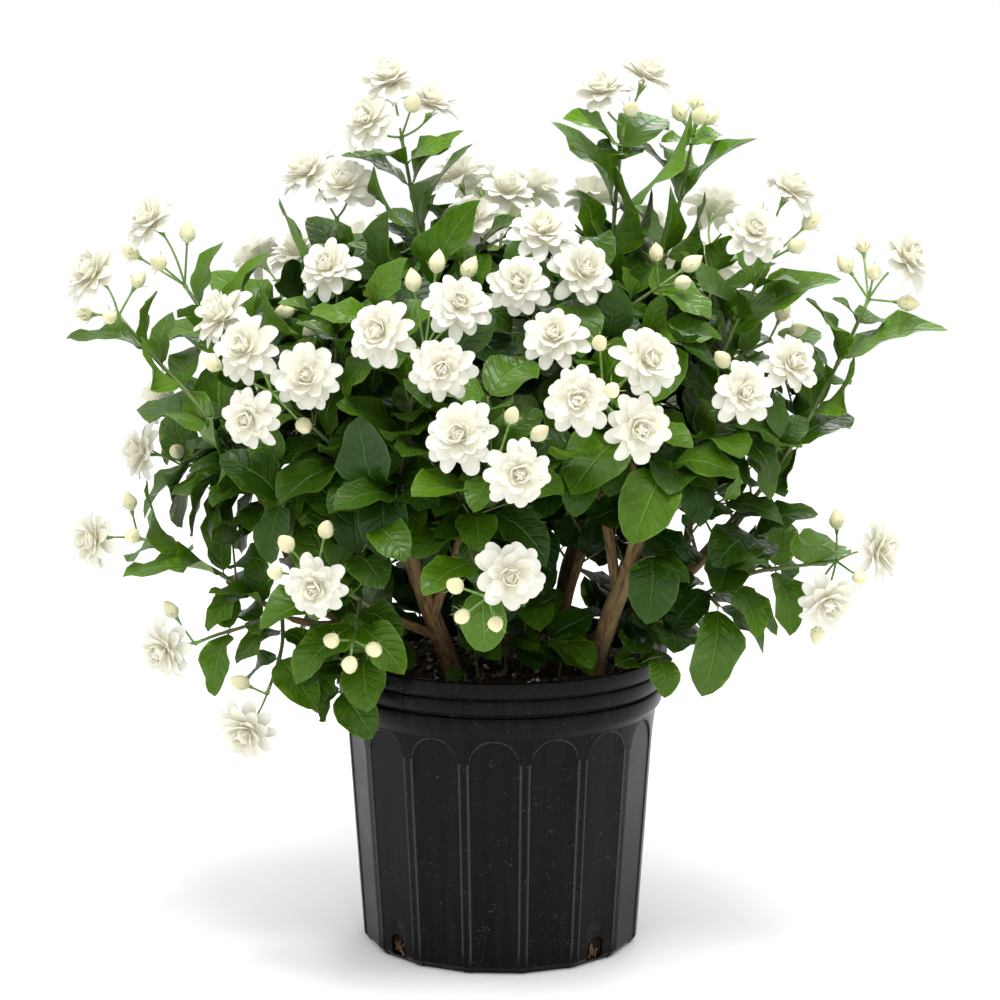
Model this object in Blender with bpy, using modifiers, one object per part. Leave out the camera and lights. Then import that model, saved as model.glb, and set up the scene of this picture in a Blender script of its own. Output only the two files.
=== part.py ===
"""A potted Arabian jasmine: a fluted nursery pot, its soil, woody stems, leafy shoots and double blooms.

Metres, +Z up. The origin is the centre of the pot's underside, and the side seen in front faces -Y.
Tables of stems, leaves and blooms are written in centimetres (x to the right, y away, z up).
"""

import math

import bmesh
import bpy
import numpy as np
from mathutils import Matrix, Vector
from mathutils.bvhtree import BVHTree

CM = 0.01
GAP = 0.0003
MERGE_TRIALS = (2e-5, 8e-6, 3e-6, 1e-6)
FLAT_ANGLE = math.radians(0.3)
LEAFY_FLAT_ANGLE = math.radians(2.0)

# The pot: a size 3 nursery can
POT_HEIGHT = 24.3
POT_SEGMENTS = 32
POT_FLOOR = 0.5
POT_OUTSIDE = [
    (13.15, 24.30),
    (13.58, 24.25),
    (13.45, 23.10),
    (13.18, 22.92),
    (13.38, 22.74),
    (13.30, 21.75),
    (12.95, 21.50),
    (13.24, 21.22),
    (13.15, 20.20),
    (12.66, 19.50),
    (11.36, 0.55),
    (10.90, 0.00),
]
POT_INSIDE = [(10.90, POT_FLOOR), (12.62, 23.60)]
WALL_TOP = (12.64, 19.20)
WALL_FOOT = (11.36, 0.55)

# Sixteen flat panels with round heads stand back between the ribs
PANEL_COUNT = 16
PANEL_PHASE = math.radians(-2.5)
PANEL_HALF_ANGLE = math.radians(9.1)
PANEL_RECESS = 0.10
PANEL_HEAD = 19.35
PANEL_HEAD_STEPS = 4

# Four arched drain holes at the foot of every fourth panel
DRAIN_PANELS = (2, 6, 10, 14)
DRAIN_HALF_WIDTH = 0.88
DRAIN_BOTTOM = 0.30
DRAIN_TOP = 2.25
DRAIN_REACH = (9.6, 12.6)

# The potting mix fills the pot to a little below the rim
SOIL_SIDE = [(10.86, POT_FLOOR + 0.03), (12.48, 22.40)]
SOIL_TOP = [(6.60, 22.95)]
SOIL_CROWN = 23.15
SOIL_WAVE = 0.16
SOCKET_ROOM = 0.036

# Woody stems: limbs as (start radius, end radius, points); the first stands in the soil
WOOD = {
    "wood_front_left": [
        (0.85, 0.62, [(-3.5, -3.7, 19.6), (-4.1, -4.3, 23.8), (-5.3, -6.0, 27.6), (-6.9, -7.9, 32.6)]),
        (0.50, 0.36, [(-6.7, -7.6, 31.8), (-7.3, -9.0, 35.4), (-7.7, -10.2, 38.6)]),
        (0.48, 0.34, [(-6.3, -7.2, 31.0), (-8.9, -8.4, 36.0), (-10.8, -9.0, 39.8)]),
        (0.42, 0.30, [(-5.4, -6.2, 28.0), (-4.2, -9.4, 32.2), (-3.1, -12.4, 35.6)]),
        (0.38, 0.28, [(-4.8, -5.3, 26.2), (-7.6, -8.4, 28.0), (-10.0, -11.0, 29.8)]),
    ],
    "wood_front_right": [
        (0.90, 0.66, [(7.0, -4.3, 19.6), (7.5, -4.8, 23.8), (8.6, -6.1, 27.8), (10.4, -7.5, 33.0)]),
        (0.52, 0.36, [(10.0, -7.3, 32.2), (10.9, -9.6, 37.2), (10.0, -12.4, 41.6)]),
        (0.52, 0.36, [(10.2, -7.4, 32.6), (12.0, -8.0, 37.8), (14.4, -8.7, 41.8)]),
        (0.44, 0.32, [(9.2, -6.6, 29.8), (8.2, -7.6, 36.6), (6.4, -8.1, 43.2)]),
    ],
    "wood_left": [
        (0.62, 0.50, [(-6.9, 1.0, 19.6), (-7.4, 0.7, 23.8), (-11.2, -0.8, 26.0), (-15.2, -2.1, 28.2),
                      (-17.0, -3.4, 32.6), (-18.0, -4.2, 35.8), (-19.4, -4.7, 38.4)]),
        (0.36, 0.28, [(-17.2, -3.6, 33.4), (-17.7, -3.1, 36.4), (-18.0, -2.4, 39.2)]),
        (0.34, 0.28, [(-12.2, -1.2, 26.6), (-14.8, -2.8, 26.6), (-16.8, -3.2, 27.2)]),
    ],
    "wood_right": [
        (0.66, 0.46, [(5.9, 1.0, 19.6), (6.4, 0.8, 23.8), (9.6, 0.1, 26.2), (12.6, -0.7, 28.4),
                      (15.4, -1.7, 31.0), (17.4, -2.4, 33.4), (19.4, -3.0, 36.0)]),
        (0.36, 0.28, [(14.6, -1.4, 30.2), (15.2, -1.9, 35.2), (15.0, -3.0, 40.0)]),
        (0.34, 0.26, [(10.6, -0.2, 26.9), (13.0, -2.2, 27.8), (15.4, -3.4, 28.8)]),
    ],
    "wood_centre": [
        (0.70, 0.40, [(0.7, 1.2, 19.6), (0.5, 1.0, 23.8), (0.0, 0.6, 30.0), (-1.4, -0.2, 36.0),
                      (-3.4, -1.4, 41.0)]),
    ],
    "wood_centre_right": [
        (0.42, 0.32, [(4.4, -0.7, 19.6), (4.5, -0.8, 23.8), (5.4, -1.0, 28.6), (6.9, -1.0, 33.4),
                      (7.8, -1.0, 38.2)]),
    ],
    "wood_back_left": [
        (0.66, 0.46, [(-2.6, 6.0, 19.6), (-2.9, 6.4, 23.8), (-4.0, 8.6, 30.0), (-6.0, 11.0, 36.0),
                      (-8.0, 13.0, 40.2)]),
        (0.40, 0.30, [(-4.4, 9.2, 31.4), (-2.8, 10.8, 36.0), (-1.6, 12.0, 40.0)]),
    ],
    "wood_back_right": [
        (0.60, 0.42, [(3.9, 5.9, 19.6), (4.3, 6.3, 23.8), (5.8, 8.2, 30.0), (8.0, 10.6, 36.0),
                      (9.8, 12.6, 40.2)]),
    ],
}

# Blooms: the hub where the flower stalks meet, the open flowers and the buds
BLOOMS = {
    "blooms_top_left": [(-7.9, 0.0, 65.6), [(-8.7, -1.2, 69.9), (-10.2, -3.0, 66.8), (-5.6, 1.0, 67.9)],
                        [(-6.9, -3.4, 68.4)]],
    "blooms_high_left": [(-13.2, 1.8, 59.0), [(-15.3, 1.6, 62.4), (-12.3, -0.6, 61.6)], []],
    "blooms_high_centre": [(-1.1, 7.2, 57.2), [(-3.4, 6.4, 61.8), (0.4, 4.9, 60.6), (-2.2, 2.6, 58.6)], []],
    "blooms_upper_front": [(3.6, -9.4, 54.2), [(3.2, -11.0, 58.8), (1.4, -15.0, 55.4), (6.0, -12.6, 56.0)], []],
    "blooms_top_right": [(9.7, 0.0, 66.4), [(8.0, -1.0, 69.0), (11.4, 0.8, 70.1)], [(10.2, -2.8, 68.0)]],
    "blooms_high_right": [(21.2, -2.0, 56.0), [(19.6, -5.4, 58.3), (22.7, -1.6, 61.2)],
                          [(24.6, -1.0, 59.0), (23.2, -4.2, 57.4), (20.6, 0.6, 59.6)]],
    "blooms_far_right": [(29.3, -1.0, 52.8), [(31.8, -2.4, 56.0)],
                         [(27.4, -1.0, 55.6), (29.0, 1.0, 56.9), (29.4, -3.6, 55.2), (32.3, -2.0, 52.6)]],
    "blooms_left_upper": [(-25.5, 2.0, 53.6), [(-27.8, 0.8, 58.7)],
                          [(-29.8, 2.2, 56.2), (-25.0, 0.0, 58.0), (-27.2, -1.8, 55.8)]],
    "blooms_far_left": [(-30.4, -2.0, 51.6), [(-31.9, -3.2, 54.8)],
                        [(-33.2, -1.0, 51.6), (-28.8, -1.6, 54.4), (-30.8, -4.6, 51.8)]],
    "blooms_upper_left": [(-12.9, -5.4, 52.8), [(-13.2, -8.2, 55.8)], [(-17.0, -3.6, 52.2), (-14.9, -5.2, 51.0)]],
    "blooms_front_left": [(-17.8, -8.8, 46.4),
                          [(-21.4, -8.2, 52.0), (-19.2, -13.0, 50.2), (-14.6, -15.0, 48.4), (-18.8, -15.4, 45.4)],
                          [(-15.0, -14.2, 44.6), (-22.2, -10.2, 48.8)]],
    "blooms_front_centre": [(-5.8, -14.2, 50.4), [(-8.8, -19.0, 52.2), (-4.3, -21.8, 50.0), (-3.2, -17.4, 54.0)],
                            [(-6.6, -15.6, 55.8), (-4.8, -13.8, 57.0), (-2.4, -14.0, 56.6)]],
    "blooms_front_right": [(7.7, -16.8, 46.8),
                           [(4.0, -20.4, 52.0), (5.6, -24.6, 48.0), (10.6, -21.6, 50.4), (9.9, -23.2, 45.8)],
                           [(7.2, -22.6, 52.0), (8.0, -26.0, 49.0)]],
    "blooms_right_front": [(20.2, -9.8, 45.4), [(18.2, -16.6, 47.4), (21.9, -13.0, 49.0)], [(16.8, -13.6, 49.6)]],
    "blooms_mid_front": [(-0.4, -20.6, 42.6), [(-2.8, -24.6, 45.4), (1.2, -26.6, 43.0)],
                         [(0.8, -23.6, 46.8), (2.8, -23.0, 45.4)]],
    "blooms_low_front_left": [(-14.2, -14.8, 33.0), [(-13.8, -20.0, 33.4)],
                              [(-16.2, -18.0, 36.2), (-13.2, -17.6, 37.2), (-17.0, -19.0, 34.2)]],
    "blooms_low_front": [(-1.0, -20.4, 32.6), [(0.6, -25.0, 35.2)],
                         [(-3.4, -24.0, 34.2), (-2.9, -23.6, 31.8), (-0.4, -25.4, 31.6)]],
    "blooms_left_low": [(-29.4, 0.0, 33.2), [(-32.4, -2.4, 33.6)], [(-30.0, -0.6, 36.3), (-29.4, -4.2, 34.2)]],
    "blooms_left_lower": [(-24.6, -4.2, 25.4), [(-26.4, -7.0, 25.6)], [(-26.4, -4.4, 28.2)]],
    "blooms_left_hanging": [(-18.6, -7.4, 22.0), [(-19.7, -11.6, 20.4)], [(-20.6, -8.4, 23.2)]],
    "blooms_low_right": [(26.6, -6.0, 32.5), [(25.3, -10.2, 30.3), (29.4, -7.2, 33.6)],
                         [(26.6, -5.8, 35.8), (24.9, -8.8, 27.2), (28.0, -10.2, 32.0)]],
    "blooms_left_mid": [(-26.2, 4.6, 38.4), [(-29.0, 4.0, 39.6)], [(-26.4, 2.2, 40.0)]],
    "blooms_left_back": [(-25.6, 9.2, 42.0), [(-27.8, 9.4, 43.6)], []],
    "blooms_back_upper_left": [(-18.0, 8.0, 52.4), [(-20.0, 9.6, 54.8), (-16.6, 6.0, 55.4)], []],
    "blooms_back_upper_right": [(9.8, 9.4, 56.2), [(7.6, 11.6, 59.6), (12.0, 11.0, 57.2)], []],
    "blooms_back_right": [(17.4, 10.2, 56.0), [(17.8, 12.6, 58.6)], [(19.0, 9.0, 58.0)]],
    "blooms_rear_left_high": [(-14.0, 18.2, 50.8), [(-12.6, 19.4, 55.0), (-17.0, 19.8, 52.4), (-13.4, 22.6, 51.0)],
                              [(-10.8, 21.4, 53.6)]],
    "blooms_rear_left_low": [(-18.4, 21.6, 42.8), [(-21.6, 23.8, 43.4), (-17.2, 25.8, 42.0)], [(-19.2, 24.0, 46.0)]],
    "blooms_rear_centre_high": [(0.1, 16.2, 56.8), [(-1.8, 18.4, 60.2), (2.8, 17.6, 59.8), (0.6, 21.6, 58.2)], []],
    "blooms_rear_centre_low": [(1.8, 22.0, 46.6), [(-0.4, 26.0, 48.4), (4.2, 25.4, 47.0), (1.6, 25.6, 43.4)],
                               [(1.4, 23.4, 49.6)]],
    "blooms_rear_right_high": [(15.6, 17.4, 50.6), [(13.2, 20.0, 53.8), (18.2, 18.4, 53.4), (16.6, 22.2, 50.6)],
                               [(15.8, 19.2, 55.2)]],
    "blooms_rear_right_low": [(19.4, 20.8, 41.4), [(22.4, 22.4, 42.0), (18.6, 25.2, 42.4)], [(21.4, 23.6, 45.0)]],
}

# Leafy shoots: the woody limb that carries them, their stems, and loose bud sprays at a stem's end
SHOOTS = {
    "shoot_top_left": dict(
        limb=("wood_centre", 0),
        stems=[
            ([(-5.1, -2.2, 47.0), (-5.9, -1.6, 54.0), (-7.0, -0.2, 60.7)], "blooms_top_left"),
            ([(-5.2, -2.1, 47.6), (-8.8, -1.0, 50.8), (-11.9, 0.4, 54.4)], "blooms_high_left"),
            ([(-4.6, -1.9, 44.6), (-2.6, 2.6, 49.0), (-1.5, 5.6, 53.4)], "blooms_high_centre"),
        ],
    ),
    "shoot_top_right": dict(
        limb=("wood_centre_right", 0),
        stems=[
            ([(8.0, -1.0, 44.7), (8.6, -0.2, 52.6), (9.1, 0.0, 60.6)], "blooms_top_right"),
            ([(8.1, -0.9, 46.6), (11.2, 1.0, 50.6), (13.0, 2.0, 55.2), (14.5, 2.8, 60.6), (15.4, 3.0, 65.4)],
             [(15.7, 3.4, 68.2), (14.3, 3.0, 67.4), (16.9, 3.4, 67.0), (15.8, 1.4, 67.2)]),
            ([(8.0, -1.0, 45.4), (8.7, 4.0, 50.4), (9.4, 7.8, 54.0)], "blooms_back_upper_right"),
        ],
    ),
    "shoot_upper_front": dict(
        limb=("wood_front_right", 3),
        stems=[
            ([(5.2, -8.6, 47.8), (4.2, -9.0, 51.8)], "blooms_upper_front"),
            ([(5.2, -8.6, 48.0), (9.0, -7.2, 52.2), (12.2, -7.0, 54.4)],
             [(12.0, -8.2, 57.2), (14.8, -6.6, 56.2), (14.0, -9.2, 55.0)]),
        ],
    ),
    "shoot_front_centre": dict(
        limb=("wood_front_left", 1),
        stems=[([(-7.4, -11.8, 42.8), (-6.6, -13.2, 47.2)], "blooms_front_centre")],
    ),
    "shoot_front_left": dict(
        limb=("wood_front_left", 2),
        stems=[
            ([(-13.4, -9.2, 42.6), (-15.8, -9.0, 44.8)], "blooms_front_left"),
            ([(-12.4, -9.1, 41.6), (-12.9, -7.6, 47.0), (-12.9, -6.2, 50.4)], "blooms_upper_left"),
        ],
    ),
    "shoot_mid_front": dict(
        limb=("wood_front_left", 3),
        stems=[
            ([(-2.0, -15.4, 38.2), (-0.9, -18.4, 40.8)], "blooms_mid_front"),
            ([(-2.5, -14.0, 37.0), (-2.4, -16.8, 35.6), (-1.5, -18.9, 33.8)], "blooms_low_front"),
        ],
    ),
    "shoot_low_front_left": dict(
        limb=("wood_front_left", 4),
        stems=[
            ([(-11.8, -12.8, 31.4), (-13.2, -14.0, 32.4)], "blooms_low_front_left"),
            ([(-10.9, -11.9, 30.6), (-11.0, -14.4, 29.4), (-11.3, -16.4, 28.4)],
             [(-12.8, -19.2, 29.0), (-11.4, -19.6, 27.2), (-9.6, -18.8, 28.2)]),
        ],
    ),
    "shoot_left_upper": dict(
        limb=("wood_left", 1),
        stems=[
            ([(-19.2, -1.4, 43.4), (-21.4, -0.4, 47.4), (-23.8, 1.0, 51.2)], "blooms_left_upper"),
            ([(-19.4, -1.3, 43.8), (-19.4, 2.4, 47.6), (-18.6, 6.2, 50.6)], "blooms_back_upper_left"),
        ],
    ),
    "shoot_far_left": dict(
        limb=("wood_left", 0),
        stems=[
            ([(-22.2, -3.6, 42.0), (-24.9, -2.4, 45.4), (-27.6, -2.0, 48.2), (-29.4, -2.0, 50.4)],
             "blooms_far_left"),
            ([(-20.6, -4.3, 40.0), (-22.8, -0.6, 39.4), (-25.0, 2.8, 38.8)], "blooms_left_mid"),
            ([(-21.6, -3.9, 41.2), (-22.6, 2.4, 42.4), (-24.4, 6.8, 42.4)], "blooms_left_back"),
        ],
    ),
    "shoot_low_left": dict(
        limb=("wood_left", 2),
        stems=[
            ([(-18.8, -2.8, 28.2), (-23.0, -1.4, 30.8), (-27.2, -0.2, 32.8)], "blooms_left_low"),
            ([(-18.0, -3.0, 27.8), (-20.4, -4.2, 26.8), (-22.8, -4.4, 26.2)], "blooms_left_lower"),
            ([(-17.6, -3.1, 27.6), (-17.4, -5.0, 25.6), (-17.9, -6.4, 23.8)], "blooms_left_hanging"),
        ],
    ),
    "shoot_front_right": dict(
        limb=("wood_front_right", 1),
        stems=[([(8.9, -14.6, 44.2), (8.2, -16.0, 45.8)], "blooms_front_right")],
    ),
    "shoot_right_front": dict(
        limb=("wood_front_right", 2),
        stems=[([(16.8, -9.2, 43.8), (18.8, -9.6, 44.8)], "blooms_right_front")],
    ),
    "shoot_high_right": dict(
        limb=("wood_right", 1),
        stems=[
            ([(15.5, -3.7, 43.6), (17.0, -3.0, 47.6), (19.2, -2.2, 51.9)], "blooms_high_right"),
            ([(16.6, -3.2, 46.6), (19.4, -0.4, 48.4), (21.6, 1.2, 49.2)], [(22.8, 2.2, 51.4), (23.8, 0.2, 50.2)]),
            ([(15.9, -3.6, 44.6), (16.8, 3.4, 49.6), (17.2, 8.0, 53.6)], "blooms_back_right"),
        ],
    ),
    "shoot_far_right": dict(
        limb=("wood_right", 0),
        stems=[([(21.0, -2.9, 38.0), (24.5, -1.8, 43.0), (26.2, -1.2, 46.2), (28.0, -1.0, 49.8)],
                "blooms_far_right")],
    ),
    "shoot_low_right": dict(
        limb=("wood_right", 2),
        stems=[
            ([(17.0, -3.9, 29.8), (20.2, -4.6, 31.4), (23.6, -5.4, 32.0)], "blooms_low_right"),
            ([(16.4, -3.7, 29.5), (17.4, -4.8, 28.6)], []),
        ],
    ),
    "shoot_rear_left": dict(
        limb=("wood_back_left", 0),
        stems=[
            ([(-10.4, 15.4, 44.2), (-12.8, 17.4, 48.2)], "blooms_rear_left_high"),
            ([(-9.4, 14.4, 42.6), (-13.4, 17.8, 42.6), (-16.6, 20.4, 42.6)], "blooms_rear_left_low"),
            ([(-8.8, 13.8, 41.6), (-8.8, 18.4, 38.6), (-9.4, 22.4, 36.0)],
             [(-10.2, 24.6, 37.4), (-8.4, 25.0, 35.8), (-10.4, 24.2, 34.4)]),
        ],
    ),
    "shoot_rear_centre": dict(
        limb=("wood_back_left", 1),
        stems=[
            ([(-1.2, 13.6, 45.6), (-0.4, 15.2, 52.0)], "blooms_rear_centre_high"),
            ([(-1.4, 13.0, 43.4), (0.2, 17.4, 44.8), (1.2, 20.4, 45.8)], "blooms_rear_centre_low"),
        ],
    ),
    "shoot_rear_right": dict(
        limb=("wood_back_right", 0),
        stems=[
            ([(12.2, 14.8, 44.6), (14.4, 16.6, 48.4)], "blooms_rear_right_high"),
            ([(11.2, 14.0, 43.0), (14.8, 17.4, 41.8), (17.6, 19.6, 41.4)], "blooms_rear_right_low"),
            ([(10.4, 13.2, 41.4), (9.6, 18.0, 38.2), (9.0, 21.8, 36.0)],
             [(7.8, 24.0, 37.0), (9.6, 24.6, 35.4), (10.6, 23.4, 37.6)]),
        ],
    ),
}

# Leaf pairs that the front view shows: shoot, stem, share of the stem's length, and the two tips
SEEN_LEAVES = [
    ("shoot_top_left", 0, 0.86, (-2.9, -1.4, 66.2), (-12.7, -0.6, 64.2)),
    ("shoot_top_left", 0, 0.70, (-2.2, 1.6, 65.0), (-11.2, -2.4, 63.2)),
    ("shoot_top_left", 0, 0.50, (-1.6, -3.4, 60.9), (-12.2, -2.8, 57.4)),
    ("shoot_top_left", 1, 0.62, (-19.6, -0.4, 58.7), (-8.6, -2.6, 57.6)),
    ("shoot_top_right", 0, 0.78, (3.9, -1.6, 66.9), (15.0, -1.6, 67.9)),
    ("shoot_top_right", 0, 0.64, (5.8, -3.0, 63.8), (12.1, -2.8, 64.2)),
    ("shoot_top_right", 0, 0.46, (3.4, 0.8, 60.7), (14.6, -1.8, 61.8)),
    ("shoot_top_right", 1, 0.74, (11.3, 1.0, 65.6), (20.5, 1.6, 65.4)),
    ("shoot_top_right", 1, 0.52, (16.1, -1.4, 61.4), (9.8, 5.6, 60.2)),
    ("shoot_high_right", 0, 0.62, (14.0, -3.6, 56.9), (26.9, -3.0, 54.6)),
    ("shoot_far_right", 0, 0.74, (22.9, -2.6, 53.6), (35.6, -2.0, 50.4)),
    ("shoot_far_right", 0, 0.50, (27.9, -4.4, 48.8), (23.0, 3.6, 49.2)),
    ("shoot_far_right", 0, 0.34, (29.6, -1.6, 42.9), (20.4, -4.2, 44.4)),
    ("shoot_far_right", 0, 0.14, (25.6, -3.6, 39.6), (21.8, 2.6, 41.6)),
    ("shoot_left_upper", 0, 0.90, (-28.3, -1.4, 55.4), (-22.4, 3.2, 57.0)),
    ("shoot_left_upper", 0, 0.62, (-29.0, 0.6, 50.6), (-18.6, 0.8, 56.4)),
    ("shoot_far_left", 0, 0.82, (-34.6, -2.4, 49.8), (-27.0, -4.0, 53.8)),
    ("shoot_far_left", 0, 0.58, (-30.2, -5.2, 48.4), (-23.6, 1.2, 49.8)),
    ("shoot_far_left", 0, 0.32, (-30.4, -3.0, 44.2), (-20.8, -7.4, 44.6)),
    ("shoot_low_left", 0, 0.76, (-28.2, -3.4, 38.6), (-26.2, 3.6, 29.6)),
    ("shoot_low_left", 0, 0.48, (-30.6, -2.8, 29.4), (-21.4, 0.8, 37.2)),
    ("shoot_low_left", 0, 0.18, (-23.4, -4.6, 29.6), (-19.2, -1.2, 33.4)),
    ("shoot_low_left", 1, 0.62, (-22.8, -6.6, 21.6), (-22.0, -0.8, 29.2)),
    ("shoot_low_left", 2, 0.60, (-20.8, -3.6, 21.4), (-14.6, -9.4, 21.2)),
    ("shoot_low_right", 0, 0.62, (22.8, -7.8, 26.8), (22.6, -2.6, 35.6)),
    ("shoot_low_right", 0, 0.30, (20.4, -8.8, 33.2), (20.2, -8.4, 26.8)),
    ("shoot_low_right", 1, 0.92, (16.0, -6.6, 21.6), (18.8, -5.6, 23.4)),
    ("shoot_mid_front", 1, 0.62, (3.4, -22.4, 30.8), (-5.8, -22.0, 33.0)),
    ("shoot_mid_front", 0, 0.62, (4.6, -23.0, 40.8), (-6.6, -22.6, 40.6)),
    ("shoot_front_right", 0, 0.42, (5.2, -20.8, 40.4), (13.0, -19.0, 41.8)),
    ("shoot_low_front_left", 0, 0.40, (-9.2, -17.6, 33.6), (-18.4, -16.2, 29.2)),
    ("shoot_low_front_left", 1, 0.60, (-7.4, -16.8, 25.8), (-15.6, -17.6, 25.2)),
    ("shoot_front_centre", 0, 0.35, (-6.2, -18.8, 44.6), (-12.0, -15.6, 45.4)),
]

# Leaves and stems; the sides are the curve's bevel steps: 0 gives four sides and 1 gives six
STEM_RADIUS = (0.22, 0.17)
SIDE_STEM_RADIUS = (0.19, 0.16)
STEM_STEP = 5.6
WOOD_STEP = 6.4
STEM_SIDES = 0
WOOD_SIDES = 1
LEAF_SPACING = 6.3
FIRST_LEAF = (1.2, 2.6)
STEM_END = 0.6
SAME_NODE = 0.62
LEAF_SWING = 0.35
LEAF_RISE = (0.25, 0.7)
LEAF_DROOP = (0.0, 0.35)
LEAF_LENGTH = (5.4, 8.0)
LEAF_WIDTH = 0.56
SEEN_LEAF_WIDTH = 0.50
WIDTH_RANGE = (-0.04, 0.10)
BLADE_THICKNESS = 0.11
PETIOLE = 0.085
PETIOLE_SUNK = 0.02
LEAF_STATIONS = (0.34, 0.72)
LEAF_WIDTHS = (1.0, 0.74)
LEAF_ARCH = 0.42
LEAF_LIFTS = (0.16, 0.10)
LEAF_WAVE = 0.12
SEEN_LEAF_WAVE = 0.10
LEAF_OUTWARD = 0.45
UPRIGHT = 0.94
TURNS = (0, 22, -22, 44, -44, 66, -66, 90)
LENGTH_TRIALS = (1.0, 0.84, 0.7)
CLEARANCE = 1.7
WIDER = 1.04
BLADE_START = 0.35
LEAF_SEED = 41

# What the leaves keep clear of, a little larger than the bodies themselves
POT_ROOM = [(11.6, 0.0), (13.9, 19.0), (13.9, 24.5), (12.6, 24.5), (12.4, 23.0)]
POT_ROOM_ENDS = (-0.1, 23.4)
WOOD_ROOM = 0.12
STEM_ROOM = (0.26, 0.22)
FLOWER_ROOM = 1.05

# The bush's heart, and how much its flowers and leaves turn to the front on all but the rear side
BUSH_HEART = (0.0, 0.0, 44.0)
REAR = 6.0
FLOWER_FRONT = 0.5
LEAF_FRONT = 0.22

# Double flowers and buds
FLOWER_RADIUS = 2.55
RADIUS_RANGE = 0.05
FLOWER_SPIN = 0.7
FLOWER_AWAY = 0.8
FLOWER_OUTWARD = 0.75
FLOWER_LIFT = 0.12
PETALS = 6
WHORLS = [((0.62, 1.0), (0.08, -0.06)), ((0.56,), (0.36,))]
FLOWER_FOOT = 0.26
FLOWER_HEART = 0.50
STALK_RADIUS = 0.12
STALK_SUNK = 0.02
HUB_RADIUS = 0.31
HUB_FOOT = 0.25
PEDUNCLE = 0.6
PEDUNCLE_LEAD = 0.5
BUD_SIZE = (0.68, 0.90)
BUD_SHOULDER = 0.15
BUD_FOOT = 0.9
BUD_POINT = 1.15


def unit(vector):
    return vector / np.linalg.norm(vector)


def frame_about(axis, spin=0.0):
    """Two directions square to an axis, turned about it."""
    side = np.cross(axis, (0.0, 0.0, 1.0))
    if np.linalg.norm(side) < 0.2:
        side = np.cross(axis, (0.0, 1.0, 0.0))
    side = unit(side)
    other = np.cross(axis, side)
    return side * math.cos(spin) + other * math.sin(spin), other * math.cos(spin) - side * math.sin(spin)


def smooth_path(points, step):
    """A Catmull-Rom curve through the points, read about every step."""
    points = np.array(points, float)
    ends = np.vstack([2 * points[0] - points[1], points, 2 * points[-1] - points[-2]])
    path = [points[0]]
    for before, start, stop, after in zip(ends, ends[1:], ends[2:], ends[3:]):
        count = max(1, round(np.linalg.norm(stop - start) / step))
        for t in np.arange(1, count + 1) / count:
            path.append(0.5 * (2 * start + (stop - before) * t
                               + (2 * before - 5 * start + 4 * stop - after) * t ** 2
                               + (3 * start - before - 3 * stop + after) * t ** 3))
    return np.array(path)


def along(path, share):
    """The point and the direction at a share of a path's length."""
    spans = np.linalg.norm(np.diff(path, axis=0), axis=1)
    reach = np.concatenate([[0], np.cumsum(spans)])
    place = share * reach[-1]
    index = min(int(np.searchsorted(reach, place, side="right")) - 1, len(spans) - 1)
    step = (place - reach[index]) / spans[index]
    return path[index] + (path[index + 1] - path[index]) * step, (path[index + 1] - path[index]) / spans[index]


def path_length(path):
    return float(np.linalg.norm(np.diff(path, axis=0), axis=1).sum())


def nearest_on(path, point):
    """The point of a path nearest to a given one."""
    shares = np.linspace(0, 1, 81)
    places = np.array([along(path, share)[0] for share in shares])
    return places[np.argmin(np.linalg.norm(places - point, axis=1))]


def wood_paths():
    """Each limb's path; its last stretch is straight, so that a shoot can stand end to end with it."""
    paths = {}
    for name, limbs in WOOD.items():
        paths[name] = []
        for number, (start, stop, points) in enumerate(limbs):
            points = np.array(points, float)
            if number == 0:
                path = np.vstack([points[:1], smooth_path(points[1:], WOOD_STEP)])
            else:
                points[0] = nearest_on(paths[name][0], points[0])
                path = smooth_path(points, WOOD_STEP)
            paths[name].append(path)
    return paths


def stem_paths(wood):
    """Each shoot's stems: from the woody limb's end, or from an earlier stem, to the bloom's peduncle."""
    stems, ends = {}, {}
    for name, shoot in SHOOTS.items():
        limb_name, limb_number = shoot["limb"]
        limb = wood[limb_name][limb_number]
        direction = unit(limb[-1] - limb[-2])
        stems[name] = []
        for number, (points, tip) in enumerate(shoot["stems"]):
            points = np.array(points, float)
            if isinstance(tip, str):
                hub = np.array(BLOOMS[tip][0])
                away = unit(hub - points[-1])
                points = np.vstack([points, hub - away * (PEDUNCLE + PEDUNCLE_LEAD)])
            if number == 0:
                root = limb[-1] + direction * GAP / CM
                path = np.vstack([root, smooth_path(np.vstack([root + direction * PEDUNCLE_LEAD, points]), STEM_STEP)])
            else:
                points[0] = nearest_on(stems[name][0], points[0])
                path = smooth_path(points, STEM_STEP)
            if isinstance(tip, str):
                path = np.vstack([path, hub - away * PEDUNCLE])
                ends[tip] = (path[-1], away)
            stems[name].append(path)
    return stems, ends


def tube_rings(path, start, stop, sides=4):
    """Rings of points round a path, for tests of clearance."""
    radii = np.linspace(start, stop, len(path))
    ahead = np.gradient(path, axis=0)
    rings = []
    for centre, direction, radius in zip(path, ahead, radii):
        side, other = frame_about(unit(direction))
        turns = np.arange(sides) * 2 * math.pi / sides
        rings.append(centre + radius * (np.outer(np.cos(turns), side) + np.outer(np.sin(turns), other)))
    return path[0], rings, path[-1]


def flower_axis(flower, hub):
    """A flower looks away from its hub, outward from the bush, a little up and, unless behind, to the front."""
    outward = unit(flower - np.array(BUSH_HEART))
    front = FLOWER_FRONT if flower[1] < REAR else 0.0
    return unit(FLOWER_AWAY * unit(flower - hub) + FLOWER_OUTWARD * outward + np.array((0.0, -front, FLOWER_LIFT)))


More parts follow.
